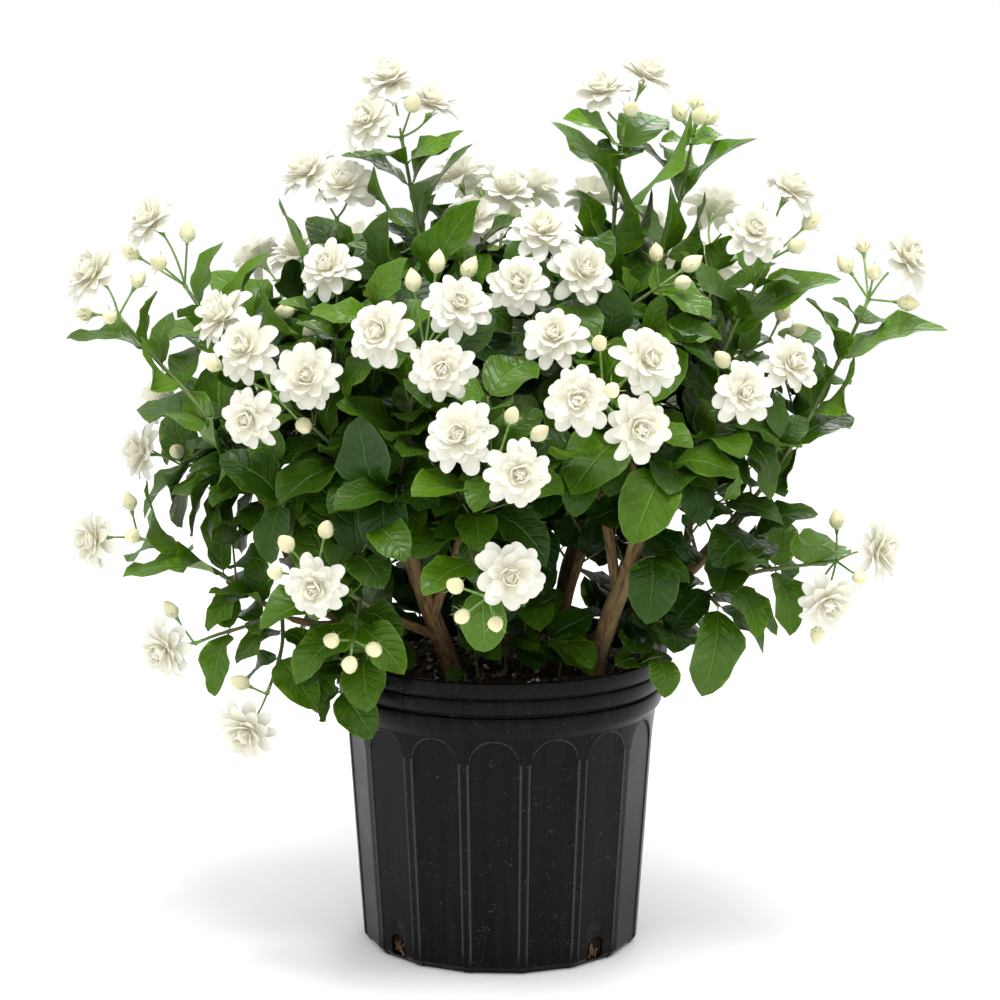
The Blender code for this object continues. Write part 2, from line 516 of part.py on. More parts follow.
def stalk_rings(hub, foot, axis, spin):
    """Two triangles of points: in the hub, and where the stalk meets the flower or bud."""
    toward = unit(foot - hub)
    side, other = frame_about(axis, spin)
    low_side = unit(side - toward * np.dot(side, toward))
    low_other = np.cross(toward, low_side)
    rings = []
    for place, right, up in ((hub + STALK_SUNK * toward, low_side, low_other), (foot, side, other)):
        turns = np.arange(3) * 2 * math.pi / 3
        rings.append(place + STALK_RADIUS * (np.outer(np.cos(turns), right) + np.outer(np.sin(turns), up)))
    return rings


def flower_rings(hub, centre, axis, radius, spin):
    """A double flower on its stalk: two lobed whorls of petals, the inner turned half a petal, and a heart."""
    side, other = frame_about(axis, spin)
    rings = stalk_rings(hub, centre - FLOWER_FOOT * radius * axis, axis, spin)
    for reaches, lifts in WHORLS:
        turns = np.arange(PETALS * len(reaches)) * 2 * math.pi / (PETALS * len(reaches))
        reach, lift = np.tile(reaches, PETALS), np.tile(lifts, PETALS)
        flat = np.outer(reach * np.cos(turns), side) + np.outer(reach * np.sin(turns), other)
        rings.append(centre + radius * (flat + np.outer(lift, axis)))
    return rings[0].mean(axis=0), rings, centre + FLOWER_HEART * radius * axis


def bud_rings(hub, centre):
    """A bud on its stalk: six sides, widest below the middle, and a drawn point."""
    axis = unit(centre - hub)
    side, other = frame_about(axis)
    width, length = BUD_SIZE
    turns = np.arange(6) * math.pi / 3
    around = np.outer(np.cos(turns), side) + np.outer(np.sin(turns), other)
    rings = stalk_rings(hub, centre - BUD_FOOT * length * axis, axis, 0.0)
    rings.append(centre - BUD_SHOULDER * length * axis + width * around)
    return rings[0].mean(axis=0), rings, centre + BUD_POINT * length * axis


def leaf_rings(base, tip, rise, width, wave, thickness):
    """A leaf: a petiole sunk in the stem, an arched midrib and raised, waved edges at two stations."""
    chord = tip - base
    length = np.linalg.norm(chord)
    ahead = chord / length
    up = unit(rise - ahead * np.dot(rise, ahead))
    side = np.cross(ahead, up)
    rings = []
    lifts = (LEAF_LIFTS[0] + wave, LEAF_LIFTS[1] - wave)
    for station, share, lift in zip(LEAF_STATIONS, LEAF_WIDTHS, lifts):
        centre = base + chord * station + up * length * LEAF_ARCH * station * (1 - station)
        half = 0.5 * width * share
        edge = up * half * lift * 2
        rings.append([centre + side * half + edge, centre + up * thickness / 2,
                      centre - side * half + edge, centre - up * thickness / 2])
    foot = base + PETIOLE_SUNK * ahead
    petiole = foot + PETIOLE * np.array([side, up, -side, -up])
    return foot, [petiole] + [np.array(ring) for ring in rings], tip


def stitch(low, count, high, above):
    """Triangles between two rings, given their first points and their counts."""
    faces = []
    if above == count:
        for k in range(count):
            a, b = low + k, low + (k + 1) % count
            up, next_up = high + k, high + (k + 1) % count
            faces += [(a, up, next_up), (a, next_up, b)] if k % 2 == 0 else [(b, a, up), (b, up, next_up)]
    elif above > count:
        fan = above // count
        for k in range(count):
            spread = [high + (fan * k - fan // 2 + step) % above for step in range(fan + 1)]
            faces += [(low + k, near, far) for near, far in zip(spread, spread[1:])]
            faces.append((low + k, spread[-1], low + (k + 1) % count))
    else:
        for k in range(0, count, 2):
            a, b, c = (low + (k + step) % count for step in range(3))
            up, next_up = high + k // 2, high + (k // 2 + 1) % above
            faces += [(a, up, b), (b, up, next_up), (b, next_up, c)]
    return faces


def skin(start, rings, stop):
    """Points and triangles of a closed body: rings of points between two end points.

    The four-sided stretches of like rings are split from their even points, so that both faces of a thin
    waved blade split alike. A ring may also have twice, three or four times, or half the points of the one before.
    """
    points = np.vstack([[start], *rings, [stop]])
    firsts = np.cumsum([1] + [len(ring) for ring in rings])
    count, last = len(rings[0]), len(points) - 1
    faces = [(0, 1 + k, 1 + (k + 1) % count) for k in range(count)]
    for ring, above, low, high in zip(rings, rings[1:], firsts, firsts[1:]):
        faces += stitch(int(low), len(ring), int(high), len(above))
    count = len(rings[-1])
    faces += [(last - count + k, last, last - count + (k + 1) % count) for k in range(count)]
    return points, faces


def tree_of(body):
    points, faces = body
    return BVHTree.FromPolygons([tuple(p) for p in points], faces)


class Clearance:
    """What already stands in the bush, as trees of triangles with their boxes."""

    def __init__(self):
        self.bodies = []

    def add(self, body):
        points = body[0]
        self.bodies.append((points.min(axis=0), points.max(axis=0), tree_of(body)))

    def is_free(self, body):
        low, high = body[0].min(axis=0), body[0].max(axis=0)
        tree = None
        for other_low, other_high, other in self.bodies:
            if (low < other_high).all() and (other_low < high).all():
                tree = tree or tree_of(body)
                if tree.overlap(other):
                    return False
        return True


def pot_body():
    """The pot and its soil as one plain body for the tests."""
    sides = 24
    turns = np.arange(sides) * 2 * math.pi / sides
    circle = np.stack([np.cos(turns), np.sin(turns), np.zeros(sides)], axis=1)
    rings = np.array([circle * radius + (0, 0, height) for radius, height in POT_ROOM])
    low, high = POT_ROOM_ENDS
    return skin(np.array((0, 0, low)), rings, np.array((0, 0, high)))


def bloom_pieces(name):
    """A bloom's flowers, buds and stalks, each with its place."""
    hub, flowers, buds = BLOOMS[name]
    hub = np.array(hub)
    pieces = []
    for number, flower in enumerate(flowers):
        flower = np.array(flower)
        axis = flower_axis(flower, hub)
        radius = FLOWER_RADIUS * (1.0 + RADIUS_RANGE * math.cos(7.0 * flower.sum()))
        pieces.append(("flower", flower, axis, radius, FLOWER_SPIN * number + flower.sum()))
    for bud in buds:
        bud = np.array(bud)
        pieces.append(("bud", bud, unit(bud - hub), 0.0, 0.0))
    return hub, pieces


def loose_buds(tip):
    """The bud places at a stem's end, where it ends in a spray of buds and not in a bloom."""
    return [np.array(bud) for bud in tip] if isinstance(tip, list) else []


def place_leaf(base, ahead, length, width, wave, clear):
    """Turns the leaf about its stem, then shortens it, until its blade stands free."""
    axis, direction = ahead
    for share in LENGTH_TRIALS:
        for turn in TURNS:
            aim = Matrix.Rotation(math.radians(turn), 3, Vector(axis)) @ Vector(direction)
            tip = base + np.array(aim) * length * share
            outward = unit(np.array((tip[0], tip[1], 0.0)) + 1e-6)
            front = LEAF_FRONT if base[1] < REAR else 0.0
            rise = np.array((0.0, -front, 1.0)) + LEAF_OUTWARD * outward
            if abs(np.dot(unit(rise), np.array(aim))) > UPRIGHT:
                rise = outward
            _, rings, end = leaf_rings(base, tip, rise, width * share * WIDER, wave, BLADE_THICKNESS * CLEARANCE)
            start = base + (rings[1].mean(axis=0) - base) * BLADE_START
            blade = skin(start, rings[1:], base + (end - base) * WIDER)
            if clear.is_free(blade):
                clear.add(blade)
                return tip, rise, width * share, wave
    return None


def leaf_plan(stems, wood):
    """Where every leaf stands: seen pairs first, then pairs by rule along each stem."""
    clear = Clearance()
    clear.add(pot_body())
    for name, limbs in wood.items():
        for (start, stop, _), path in zip(WOOD[name], limbs):
            clear.add(skin(*tube_rings(path, start + WOOD_ROOM, stop + WOOD_ROOM, 6)))
    for name in BLOOMS:
        hub, pieces = bloom_pieces(name)
        for kind, place, axis, radius, spin in pieces:
            if kind == "flower":
                clear.add(skin(*flower_rings(hub, place, axis, radius * FLOWER_ROOM, spin)))
            else:
                clear.add(skin(*bud_rings(hub, place)))
    for name, paths in stems.items():
        for (points, tip), path in zip(SHOOTS[name]["stems"], paths):
            clear.add(skin(*tube_rings(path, *STEM_ROOM)))
            if isinstance(tip, str):
                clear.add(skin(*tube_rings(np.array([path[-1], BLOOMS[tip][0]]), HUB_RADIUS, HUB_RADIUS)))
            for bud in loose_buds(tip):
                clear.add(skin(*bud_rings(path[-1], bud)))
    plan = {name: [] for name in stems}
    random = np.random.default_rng(LEAF_SEED)
    taken = {}
    for name, number, share, *tips in SEEN_LEAVES:
        path = stems[name][number]
        base, axis = along(path, share)
        taken.setdefault((name, number), []).append(share * path_length(path))
        pair = []
        for side, tip in enumerate(tips):
            chord = np.array(tip) - base
            length = np.linalg.norm(chord)
            width = length * SEEN_LEAF_WIDTH
            wave = SEEN_LEAF_WAVE * (1 - 2 * side)
            pair.append(place_leaf(base, (axis, chord / length), length, width, wave, clear))
        plan[name] += [(base, leaf) for leaf in pair if leaf]
    for name, paths in stems.items():
        for number, path in enumerate(paths):
            length = path_length(path)
            first = FIRST_LEAF[min(number, 1)]
            count = max(1, int((length - first - STEM_END) / LEAF_SPACING) + 1)
            turn = random.uniform(0, math.pi)
            for place in first + LEAF_SPACING * np.arange(count):
                turn += math.pi / 2 + random.uniform(-LEAF_SWING, LEAF_SWING)
                if any(abs(place - other) < SAME_NODE * LEAF_SPACING for other in taken.get((name, number), [])):
                    continue
                base, axis = along(path, min(place / length, 1.0))
                side, other = frame_about(axis)
                pair = []
                for angle in (turn, turn + math.pi):
                    spread = side * math.cos(angle) + other * math.sin(angle)
                    rise = axis * random.uniform(*LEAF_RISE)
                    aim = unit(spread + rise - np.array((0, 0, random.uniform(*LEAF_DROOP))))
                    size = random.uniform(*LEAF_LENGTH)
                    width = size * (LEAF_WIDTH + random.uniform(*WIDTH_RANGE))
                    wave = random.uniform(-LEAF_WAVE, LEAF_WAVE)
                    pair.append(place_leaf(base, (axis, aim), size, width, wave, clear))
                plan[name] += [(base, leaf) for leaf in pair if leaf]
    return plan


def new_object(name, mesh, collection):
    thing = bpy.data.objects.new(name, mesh)
    collection.objects.link(thing)
    return thing


def lofted(name, body, collection):
    """An object from a body's points and triangles."""
    points, faces = body
    mesh = bpy.data.meshes.new(name)
    mesh.from_pydata([tuple(point) for point in points * CM], [], faces)
    shape = bmesh.new()
    shape.from_mesh(mesh)
    bmesh.ops.recalc_face_normals(shape, faces=shape.faces[:])
    shape.to_mesh(mesh)
    shape.free()
    return new_object(name, mesh, collection)


def mesh_of(thing):
    """The object's shape with its modifiers or its bevel, as a mesh."""
    return bpy.data.meshes.new_from_object(thing.evaluated_get(bpy.context.evaluated_depsgraph_get()))


def tube(name, path, radii, resolution, collection):
    """A tapering tube along a path, made as a curve and then a mesh."""
    curve = bpy.data.curves.new(name, "CURVE")
    curve.dimensions = "3D"
    curve.bevel_depth = CM
    curve.bevel_resolution = resolution
    curve.use_fill_caps = True
    spline = curve.splines.new("POLY")
    spline.points.add(len(path) - 1)
    for point, place, radius in zip(spline.points, path, radii):
        point.co = (*(np.array(place) * CM), 1.0)
        point.radius = radius
    drawn = new_object(name + "_curve", curve, collection)
    bpy.context.view_layer.update()
    mesh = mesh_of(drawn)
    bpy.data.objects.remove(drawn)
    shape = bmesh.new()
    shape.from_mesh(mesh)
    bmesh.ops.remove_doubles(shape, verts=shape.verts[:], dist=1e-6)
    bmesh.ops.triangulate(shape, faces=shape.faces[:])
    bmesh.ops.recalc_face_normals(shape, faces=shape.faces[:])
    shape.to_mesh(mesh)
    shape.free()
    return new_object(name, mesh, collection)


def rod(name, start, stop, radius, sides, collection):
    """A straight rod between two places."""
    start, stop = Vector(start) * CM, Vector(stop) * CM
    axis = stop - start
    shape = bmesh.new()
    bmesh.ops.create_cone(shape, cap_ends=True, cap_tris=False, segments=sides, radius1=radius * CM,
                          radius2=radius * CM, depth=axis.length)
    turn = Vector((0, 0, 1)).rotation_difference(axis.normalized()).to_matrix().to_4x4()
    bmesh.ops.transform(shape, matrix=Matrix.Translation((start + stop) / 2) @ turn, verts=shape.verts[:])
    bmesh.ops.triangulate(shape, faces=shape.faces[:])
    mesh = bpy.data.meshes.new(name)
    shape.to_mesh(mesh)
    shape.free()
    return new_object(name, mesh, collection)


def shells_of(shape):
    """The connected bodies of a bmesh, as lists of faces."""
    left = set(shape.faces)
    shells = []
    while left:
        face = left.pop()
        shell, edge_front = [face], [face]
        while edge_front:
            for edge in edge_front.pop().edges:
                for near in edge.link_faces:
                    if near in left:
                        left.remove(near)
                        shell.append(near)
                        edge_front.append(near)
        shells.append(shell)
    return shells


def flaps_of(shape):
    """Faces that lie back to back on the same points and enclose nothing."""
    backs = {}
    for face in shape.faces:
        backs.setdefault(frozenset(face.verts), []).append(face)
    return [face for faces in backs.values() if len(faces) > 1 for face in faces]


def reach_of(shell):
    """The diagonal of the box round a shell."""
    places = np.array([vert.co[:] for face in shell for vert in face.verts])
    return float(np.linalg.norm(places.max(axis=0) - places.min(axis=0)))


def fuse(name, pieces, material, collection, flat_angle=LEAFY_FLAT_ANGLE):
    """Joins the pieces in one closed body and clears slivers, sealed hollows and loose scraps."""
    base, others = pieces[0], pieces[1:]
    result = None
    if others:
        group = bpy.data.collections.new(name + "_pieces")
        for piece in others:
            group.objects.link(piece)
        for solver in ("EXACT", "MANIFOLD"):
            join = base.modifiers.new("join", "BOOLEAN")
            join.operation = "UNION"
            join.operand_type = "COLLECTION"
            join.collection = group
            join.solver = solver
            result = cleaned(mesh_of(base), flat_angle)
            base.modifiers.clear()
            if result:
                break
        bpy.data.collections.remove(group)
    else:
        result = cleaned(mesh_of(base), flat_angle)
    for piece in pieces:
        bpy.data.objects.remove(piece)
    result.name = name
    result.materials.clear()
    result.materials.append(material)
    return new_object(name, result, collection)


def cleaned(mesh, flat_angle=FLAT_ANGLE):
    """The mesh with close points and flat neighbours merged, as one closed body, or nothing if it stays open."""
    for distance in MERGE_TRIALS:
        shape = bmesh.new()
        shape.from_mesh(mesh)
        bmesh.ops.remove_doubles(shape, verts=shape.verts[:], dist=distance)
        bmesh.ops.dissolve_degenerate(shape, edges=shape.edges[:], dist=distance / 2)
        bmesh.ops.dissolve_limit(shape, angle_limit=flat_angle, use_dissolve_boundaries=False,
                                 verts=shape.verts[:], edges=shape.edges[:], delimit=set())
        bmesh.ops.triangulate(shape, faces=shape.faces[:])
        bmesh.ops.delete(shape, geom=flaps_of(shape), context="FACES")
        shells = sorted(shells_of(shape), key=reach_of)
        for shell in shells[:-1]:
            bmesh.ops.delete(shape, geom=shell, context="FACES")
        loose = [vert for vert in shape.verts if not vert.link_faces]
        bmesh.ops.delete(shape, geom=loose, context="VERTS")
        closed = len(shape.faces) > 0 and all(len(edge.link_faces) == 2 for edge in shape.edges)
        if closed:
            shape.to_mesh(mesh)
            shape.free()
            return mesh
        shape.free()
    return None


def principled(name, colour, roughness):
    material = bpy.data.materials.new(name)
    material.use_nodes = True
    shader = material.node_tree.nodes["Principled BSDF"]
    shader.inputs["Base Color"].default_value = (*colour, 1.0)
    shader.inputs["Roughness"].default_value = roughness
    shader.inputs["Metallic"].default_value = 0.0
    return material


def smooth_round(mesh, angle):
    mesh.shade_smooth()
    mesh.set_sharp_from_angle(angle=math.radians(angle))


def turned(name, profile, collection):
    """A profile of (radius, height) turned about Z."""
    mesh = bpy.data.meshes.new(name)
    mesh.from_pydata([(r * CM, 0, z * CM) for r, z in profile], [(k, k + 1) for k in range(len(profile) - 1)], [])
    thing = new_object(name, mesh, collection)
    thing.rotation_euler.z = PANEL_PHASE - math.pi / 2 + math.pi / PANEL_COUNT
    screw = thing.modifiers.new("turn", "SCREW")
    screw.steps = POT_SEGMENTS
    screw.render_steps = POT_SEGMENTS
    screw.use_merge_vertices = True
    screw.merge_threshold = 0.0001
    return thing


def arch_cutter(name, outline, near, far, lean, angle, collection):
    """An upright arched outline, swept outward from the axis and leant like the wall."""
    curve = bpy.data.curves.new(name, "CURVE")
    curve.dimensions = "2D"
    curve.fill_mode = "BOTH"
    curve.extrude = (far - near) / 2 * CM
    spline = curve.splines.new("POLY")
    spline.points.add(len(outline) - 1)
    spline.use_cyclic_u = True
    for point, (x, z) in zip(spline.points, outline):
        point.co = (x * CM, z * CM, 0.0, 1.0)
    drawn = new_object(name + "_curve", curve, collection)
    bpy.context.view_layer.update()
    mesh = mesh_of(drawn)
    bpy.data.objects.remove(drawn)
    shape = bmesh.new()
    shape.from_mesh(mesh)
    bmesh.ops.remove_doubles(shape, verts=shape.verts[:], dist=1e-6)
    stand = Matrix.Rotation(math.pi / 2, 4, "X")
    outward = Matrix.Translation((0, -(near + far) / 2 * CM, 0))
    tilt = Matrix.Rotation(lean, 4, "X")
    turn = Matrix.Rotation(angle, 4, "Z")
    bmesh.ops.transform(shape, matrix=turn @ outward @ tilt @ stand, verts=shape.verts[:])
    bmesh.ops.recalc_face_normals(shape, faces=shape.faces[:])
    shape.to_mesh(mesh)
    shape.free()
    cutter = new_object(name, mesh, collection)
    cutter.hide_render = True
    cutter.display_type = "WIRE"
    return cutter


def arch_outline(half_foot, half_head, foot, head):
    """Straight sides and a half-round head, as (x, height) points."""
    turns = np.linspace(0, math.pi, PANEL_HEAD_STEPS + 1)
    spring = head - half_head
    return [(-half_foot, foot), (half_foot, foot)] + [
        (half_head * math.cos(turn), spring + half_head * math.sin(turn)) for turn in turns]


def panel_angle(number):
    return PANEL_PHASE + number * 2 * math.pi / PANEL_COUNT


def build_pot(material, collection, cutters):
    profile = [(0.0, POT_FLOOR)] + POT_INSIDE + POT_OUTSIDE + [(0.0, 0.0)]
    pot = turned("pot", profile, collection)
    slope = (WALL_TOP[0] - WALL_FOOT[0]) / (WALL_TOP[1] - WALL_FOOT[1])
    lean = math.atan(slope * math.cos(PANEL_HALF_ANGLE))
    foot_radius = WALL_FOOT[0] - WALL_FOOT[1] * slope
    face = foot_radius * math.cos(PANEL_HALF_ANGLE) - PANEL_RECESS
    half_head = WALL_TOP[0] * math.sin(PANEL_HALF_ANGLE)
    half_foot = foot_radius * math.sin(PANEL_HALF_ANGLE)
    for number in range(PANEL_COUNT):
        outline = arch_outline(half_foot, half_head, -1.0, PANEL_HEAD)
        arch_cutter(f"panel_cutter_{number + 1}", outline, face, face + 3.0, lean, panel_angle(number), cutters)
    for number in DRAIN_PANELS:
        outline = arch_outline(DRAIN_HALF_WIDTH, DRAIN_HALF_WIDTH, DRAIN_BOTTOM, DRAIN_TOP)
        arch_cutter(f"drain_cutter_{number}", outline, *DRAIN_REACH, 0.0, panel_angle(number), cutters)
    cut = pot.modifiers.new("panels and drain holes", "BOOLEAN")
    cut.operand_type = "COLLECTION"
    cut.collection = cutters
    cut.operation = "DIFFERENCE"
    bpy.context.view_layer.update()
    mesh = cleaned(mesh_of(pot))
    mesh.name = "pot"
    mesh.transform(pot.matrix_world)
    bpy.data.objects.remove(pot)
    mesh.materials.append(material)
    smooth_round(mesh, 25)
    return new_object("pot", mesh, collection)


def build_soil(material, collection, wood):
    profile = [(0.0, SOIL_CROWN)] + SOIL_TOP[::-1] + SOIL_SIDE[::-1] + [(0.0, SOIL_SIDE[0][1])]
    soil = turned("soil", profile, collection)
    bpy.context.view_layer.update()
    mesh = mesh_of(soil)
    mesh.transform(soil.matrix_world)
    bpy.data.objects.remove(soil)
    for vert in mesh.vertices:
        x, y, z = np.array(vert.co) / CM
        if z > SOIL_SIDE[-1][1] + 0.1:
            vert.co.z += SOIL_WAVE * CM * (math.sin(1.1 * x + 0.4 * y) + math.cos(1.3 * y - 0.5 * x)) / 2
    soil = new_object("soil", mesh, collection)
    sockets = bpy.data.collections.new("soil_sockets")
    for name, limbs in wood.items():
        foot, collar, above = limbs[0][:3]
        start, stop, _ = WOOD[name][0]
        radii = np.linspace(start, stop, len(limbs[0]))[:3] + SOCKET_ROOM
        sunk = foot + unit(foot - collar) * GAP / CM
        socket = tube(name + "_socket", [sunk, collar, above], radii, WOOD_SIDES, collection)
        collection.objects.unlink(socket)
        sockets.objects.link(socket)
    cut = soil.modifiers.new("stem holes", "BOOLEAN")
    cut.operand_type = "COLLECTION"
    cut.collection = sockets
    cut.operation = "DIFFERENCE"
    bpy.context.view_layer.update()
    mesh = cleaned(mesh_of(soil))
    mesh.name = "soil"
    bpy.data.objects.remove(soil)
    for socket in list(sockets.objects):
        bpy.data.objects.remove(socket)
    bpy.data.collections.remove(sockets)
    mesh.materials.append(material)
    return new_object("soil", mesh, collection)


def build_wood(name, paths, material, collection):
    pieces = []
    for number, ((start, stop, _), path) in enumerate(zip(WOOD[name], paths)):
        radii = np.linspace(start, stop, len(path))
        pieces.append(tube(f"{name}_limb_{number}", path, radii, WOOD_SIDES, collection))
    return fuse(name, pieces, material, collection, FLAT_ANGLE)


def hub_knob(hub, away, collection):
    """The small knot of tissue in which the flower stalks meet."""
    side, other = frame_about(away)
    ring = hub + HUB_RADIUS * np.array([side, other, -side, -other])
    return lofted("knob", skin(hub - away * HUB_FOOT, [ring], hub + away * HUB_RADIUS), collection)


def build_shoot(name, paths, plan, material, collection):
    pieces = []
    for number, ((_, tip), path) in enumerate(zip(SHOOTS[name]["stems"], paths)):
        radii = np.linspace(*(STEM_RADIUS if number == 0 else SIDE_STEM_RADIUS), len(path))
        pieces.append(tube(f"{name}_stem_{number}", path, radii, STEM_SIDES, collection))
        buds = loose_buds(tip)
        if buds:
            pieces.append(hub_knob(path[-1], unit(path[-1] - path[-2]), collection))
        pieces += [lofted("bud", skin(*bud_rings(path[-1], bud)), collection) for bud in buds]
    for base, (tip, rise, width, wave) in plan:
        pieces.append(lofted("leaf", skin(*leaf_rings(base, tip, rise, width, wave, BLADE_THICKNESS)), collection))
    return fuse(name, pieces, material, collection)


def build_bloom(name, end, material, collection):
    hub, pieces = bloom_pieces(name)
    start, away = end
    solids = [rod("peduncle", start + away * GAP / CM, hub, SIDE_STEM_RADIUS[1], 4, collection),
              hub_knob(hub, away, collection)]
    for kind, place, axis, radius, spin in pieces:
        rings = flower_rings(hub, place, axis, radius, spin) if kind == "flower" else bud_rings(hub, place)
        solids.append(lofted(kind, skin(*rings), collection))
    return fuse(name, solids, material, collection)


def main():
    for thing in list(bpy.data.objects):
        bpy.data.objects.remove(thing)
    plant = bpy.data.collections.new("potted_arabian_jasmine")
    cutters = bpy.data.collections.new("cutters")
    bpy.context.scene.collection.children.link(plant)
    bpy.context.scene.collection.children.link(cutters)
    black = principled("black_plastic", (0.018, 0.018, 0.02), 0.5)
    earth = principled("potting_mix", (0.035, 0.024, 0.017), 0.95)
    bark = principled("bark", (0.16, 0.10, 0.06), 0.85)
    green = principled("leaf_green", (0.06, 0.18, 0.03), 0.4)
    white = principled("petal_white", (0.87, 0.86, 0.80), 0.55)
    wood = wood_paths()
    stems, ends = stem_paths(wood)
    plan = leaf_plan(stems, wood)
    build_pot(black, plant, cutters)
    build_soil(earth, plant, wood)
    for name, paths in wood.items():
        build_wood(name, paths, bark, plant)
    for name, paths in stems.items():
        build_shoot(name, paths, plan[name], green, plant)
    for name, end in ends.items():
        build_bloom(name, end, white, plant)


main()
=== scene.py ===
import math

import bpy
import numpy as np
from mathutils import Matrix, Vector
from mathutils.bvhtree import BVHTree


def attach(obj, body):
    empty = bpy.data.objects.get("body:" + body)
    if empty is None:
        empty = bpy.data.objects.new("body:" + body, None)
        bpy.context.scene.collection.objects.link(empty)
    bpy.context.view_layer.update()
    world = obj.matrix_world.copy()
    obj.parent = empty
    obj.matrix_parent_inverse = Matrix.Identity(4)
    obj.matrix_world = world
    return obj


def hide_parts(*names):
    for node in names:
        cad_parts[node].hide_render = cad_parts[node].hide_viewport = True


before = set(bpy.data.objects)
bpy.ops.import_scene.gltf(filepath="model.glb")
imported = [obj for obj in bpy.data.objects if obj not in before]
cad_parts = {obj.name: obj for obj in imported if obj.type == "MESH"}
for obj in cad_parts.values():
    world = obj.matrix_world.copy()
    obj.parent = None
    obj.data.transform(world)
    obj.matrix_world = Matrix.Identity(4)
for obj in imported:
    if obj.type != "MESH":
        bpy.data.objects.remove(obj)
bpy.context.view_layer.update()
cm = 0.01
print("frame loaded")

# The plant's plan in centimetres, as the solids have it: x to the right, y away from the camera, z up.

# woody stems: limbs as (start radius, end radius, points)
woodLimbs = {
    "wood_front_left": [
        (0.85, 0.62, [(-3.5, -3.7, 19.6), (-4.1, -4.3, 23.8), (-5.3, -6.0, 27.6), (-6.9, -7.9, 32.6)]),
        (0.50, 0.36, [(-6.7, -7.6, 31.8), (-7.3, -9.0, 35.4), (-7.7, -10.2, 38.6)]),
        (0.48, 0.34, [(-6.3, -7.2, 31.0), (-8.9, -8.4, 36.0), (-10.8, -9.0, 39.8)]),
        (0.42, 0.30, [(-5.4, -6.2, 28.0), (-4.2, -9.4, 32.2), (-3.1, -12.4, 35.6)]),
        (0.38, 0.28, [(-4.8, -5.3, 26.2), (-7.6, -8.4, 28.0), (-10.0, -11.0, 29.8)])],
    "wood_front_right": [
        (0.90, 0.66, [(7.0, -4.3, 19.6), (7.5, -4.8, 23.8), (8.6, -6.1, 27.8), (10.4, -7.5, 33.0)]),
        (0.52, 0.36, [(10.0, -7.3, 32.2), (10.9, -9.6, 37.2), (10.0, -12.4, 41.6)]),
        (0.52, 0.36, [(10.2, -7.4, 32.6), (12.0, -8.0, 37.8), (14.4, -8.7, 41.8)]),
        (0.44, 0.32, [(9.2, -6.6, 29.8), (8.2, -7.6, 36.6), (6.4, -8.1, 43.2)])],
    "wood_left": [
        (0.62, 0.50, [(-6.9, 1.0, 19.6), (-7.4, 0.7, 23.8), (-11.2, -0.8, 26.0), (-15.2, -2.1, 28.2),
                      (-17.0, -3.4, 32.6), (-18.0, -4.2, 35.8), (-19.4, -4.7, 38.4)]),
        (0.36, 0.28, [(-17.2, -3.6, 33.4), (-17.7, -3.1, 36.4), (-18.0, -2.4, 39.2)]),
        (0.34, 0.28, [(-12.2, -1.2, 26.6), (-14.8, -2.8, 26.6), (-16.8, -3.2, 27.2)])],
    "wood_right": [
        (0.66, 0.46, [(5.9, 1.0, 19.6), (6.4, 0.8, 23.8), (9.6, 0.1, 26.2), (12.6, -0.7, 28.4),
                      (15.4, -1.7, 31.0), (17.4, -2.4, 33.4), (19.4, -3.0, 36.0)]),
        (0.36, 0.28, [(14.6, -1.4, 30.2), (15.2, -1.9, 35.2), (15.0, -3.0, 40.0)]),
        (0.34, 0.26, [(10.6, -0.2, 26.9), (13.0, -2.2, 27.8), (15.4, -3.4, 28.8)])],
    "wood_centre": [
        (0.70, 0.40, [(0.7, 1.2, 19.6), (0.5, 1.0, 23.8), (0.0, 0.6, 30.0), (-1.4, -0.2, 36.0),
                      (-3.4, -1.4, 41.0)])],
    "wood_centre_right": [
        (0.42, 0.32, [(4.4, -0.7, 19.6), (4.5, -0.8, 23.8), (5.4, -1.0, 28.6), (6.9, -1.0, 33.4),
                      (7.8, -1.0, 38.2)])],
    "wood_back_left": [
        (0.66, 0.46, [(-2.6, 6.0, 19.6), (-2.9, 6.4, 23.8), (-4.0, 8.6, 30.0), (-6.0, 11.0, 36.0),
                      (-8.0, 13.0, 40.2)]),
        (0.40, 0.30, [(-4.4, 9.2, 31.4), (-2.8, 10.8, 36.0), (-1.6, 12.0, 40.0)])],
    "wood_back_right": [
        (0.60, 0.42, [(3.9, 5.9, 19.6), (4.3, 6.3, 23.8), (5.8, 8.2, 30.0), (8.0, 10.6, 36.0),
                      (9.8, 12.6, 40.2)])],
}

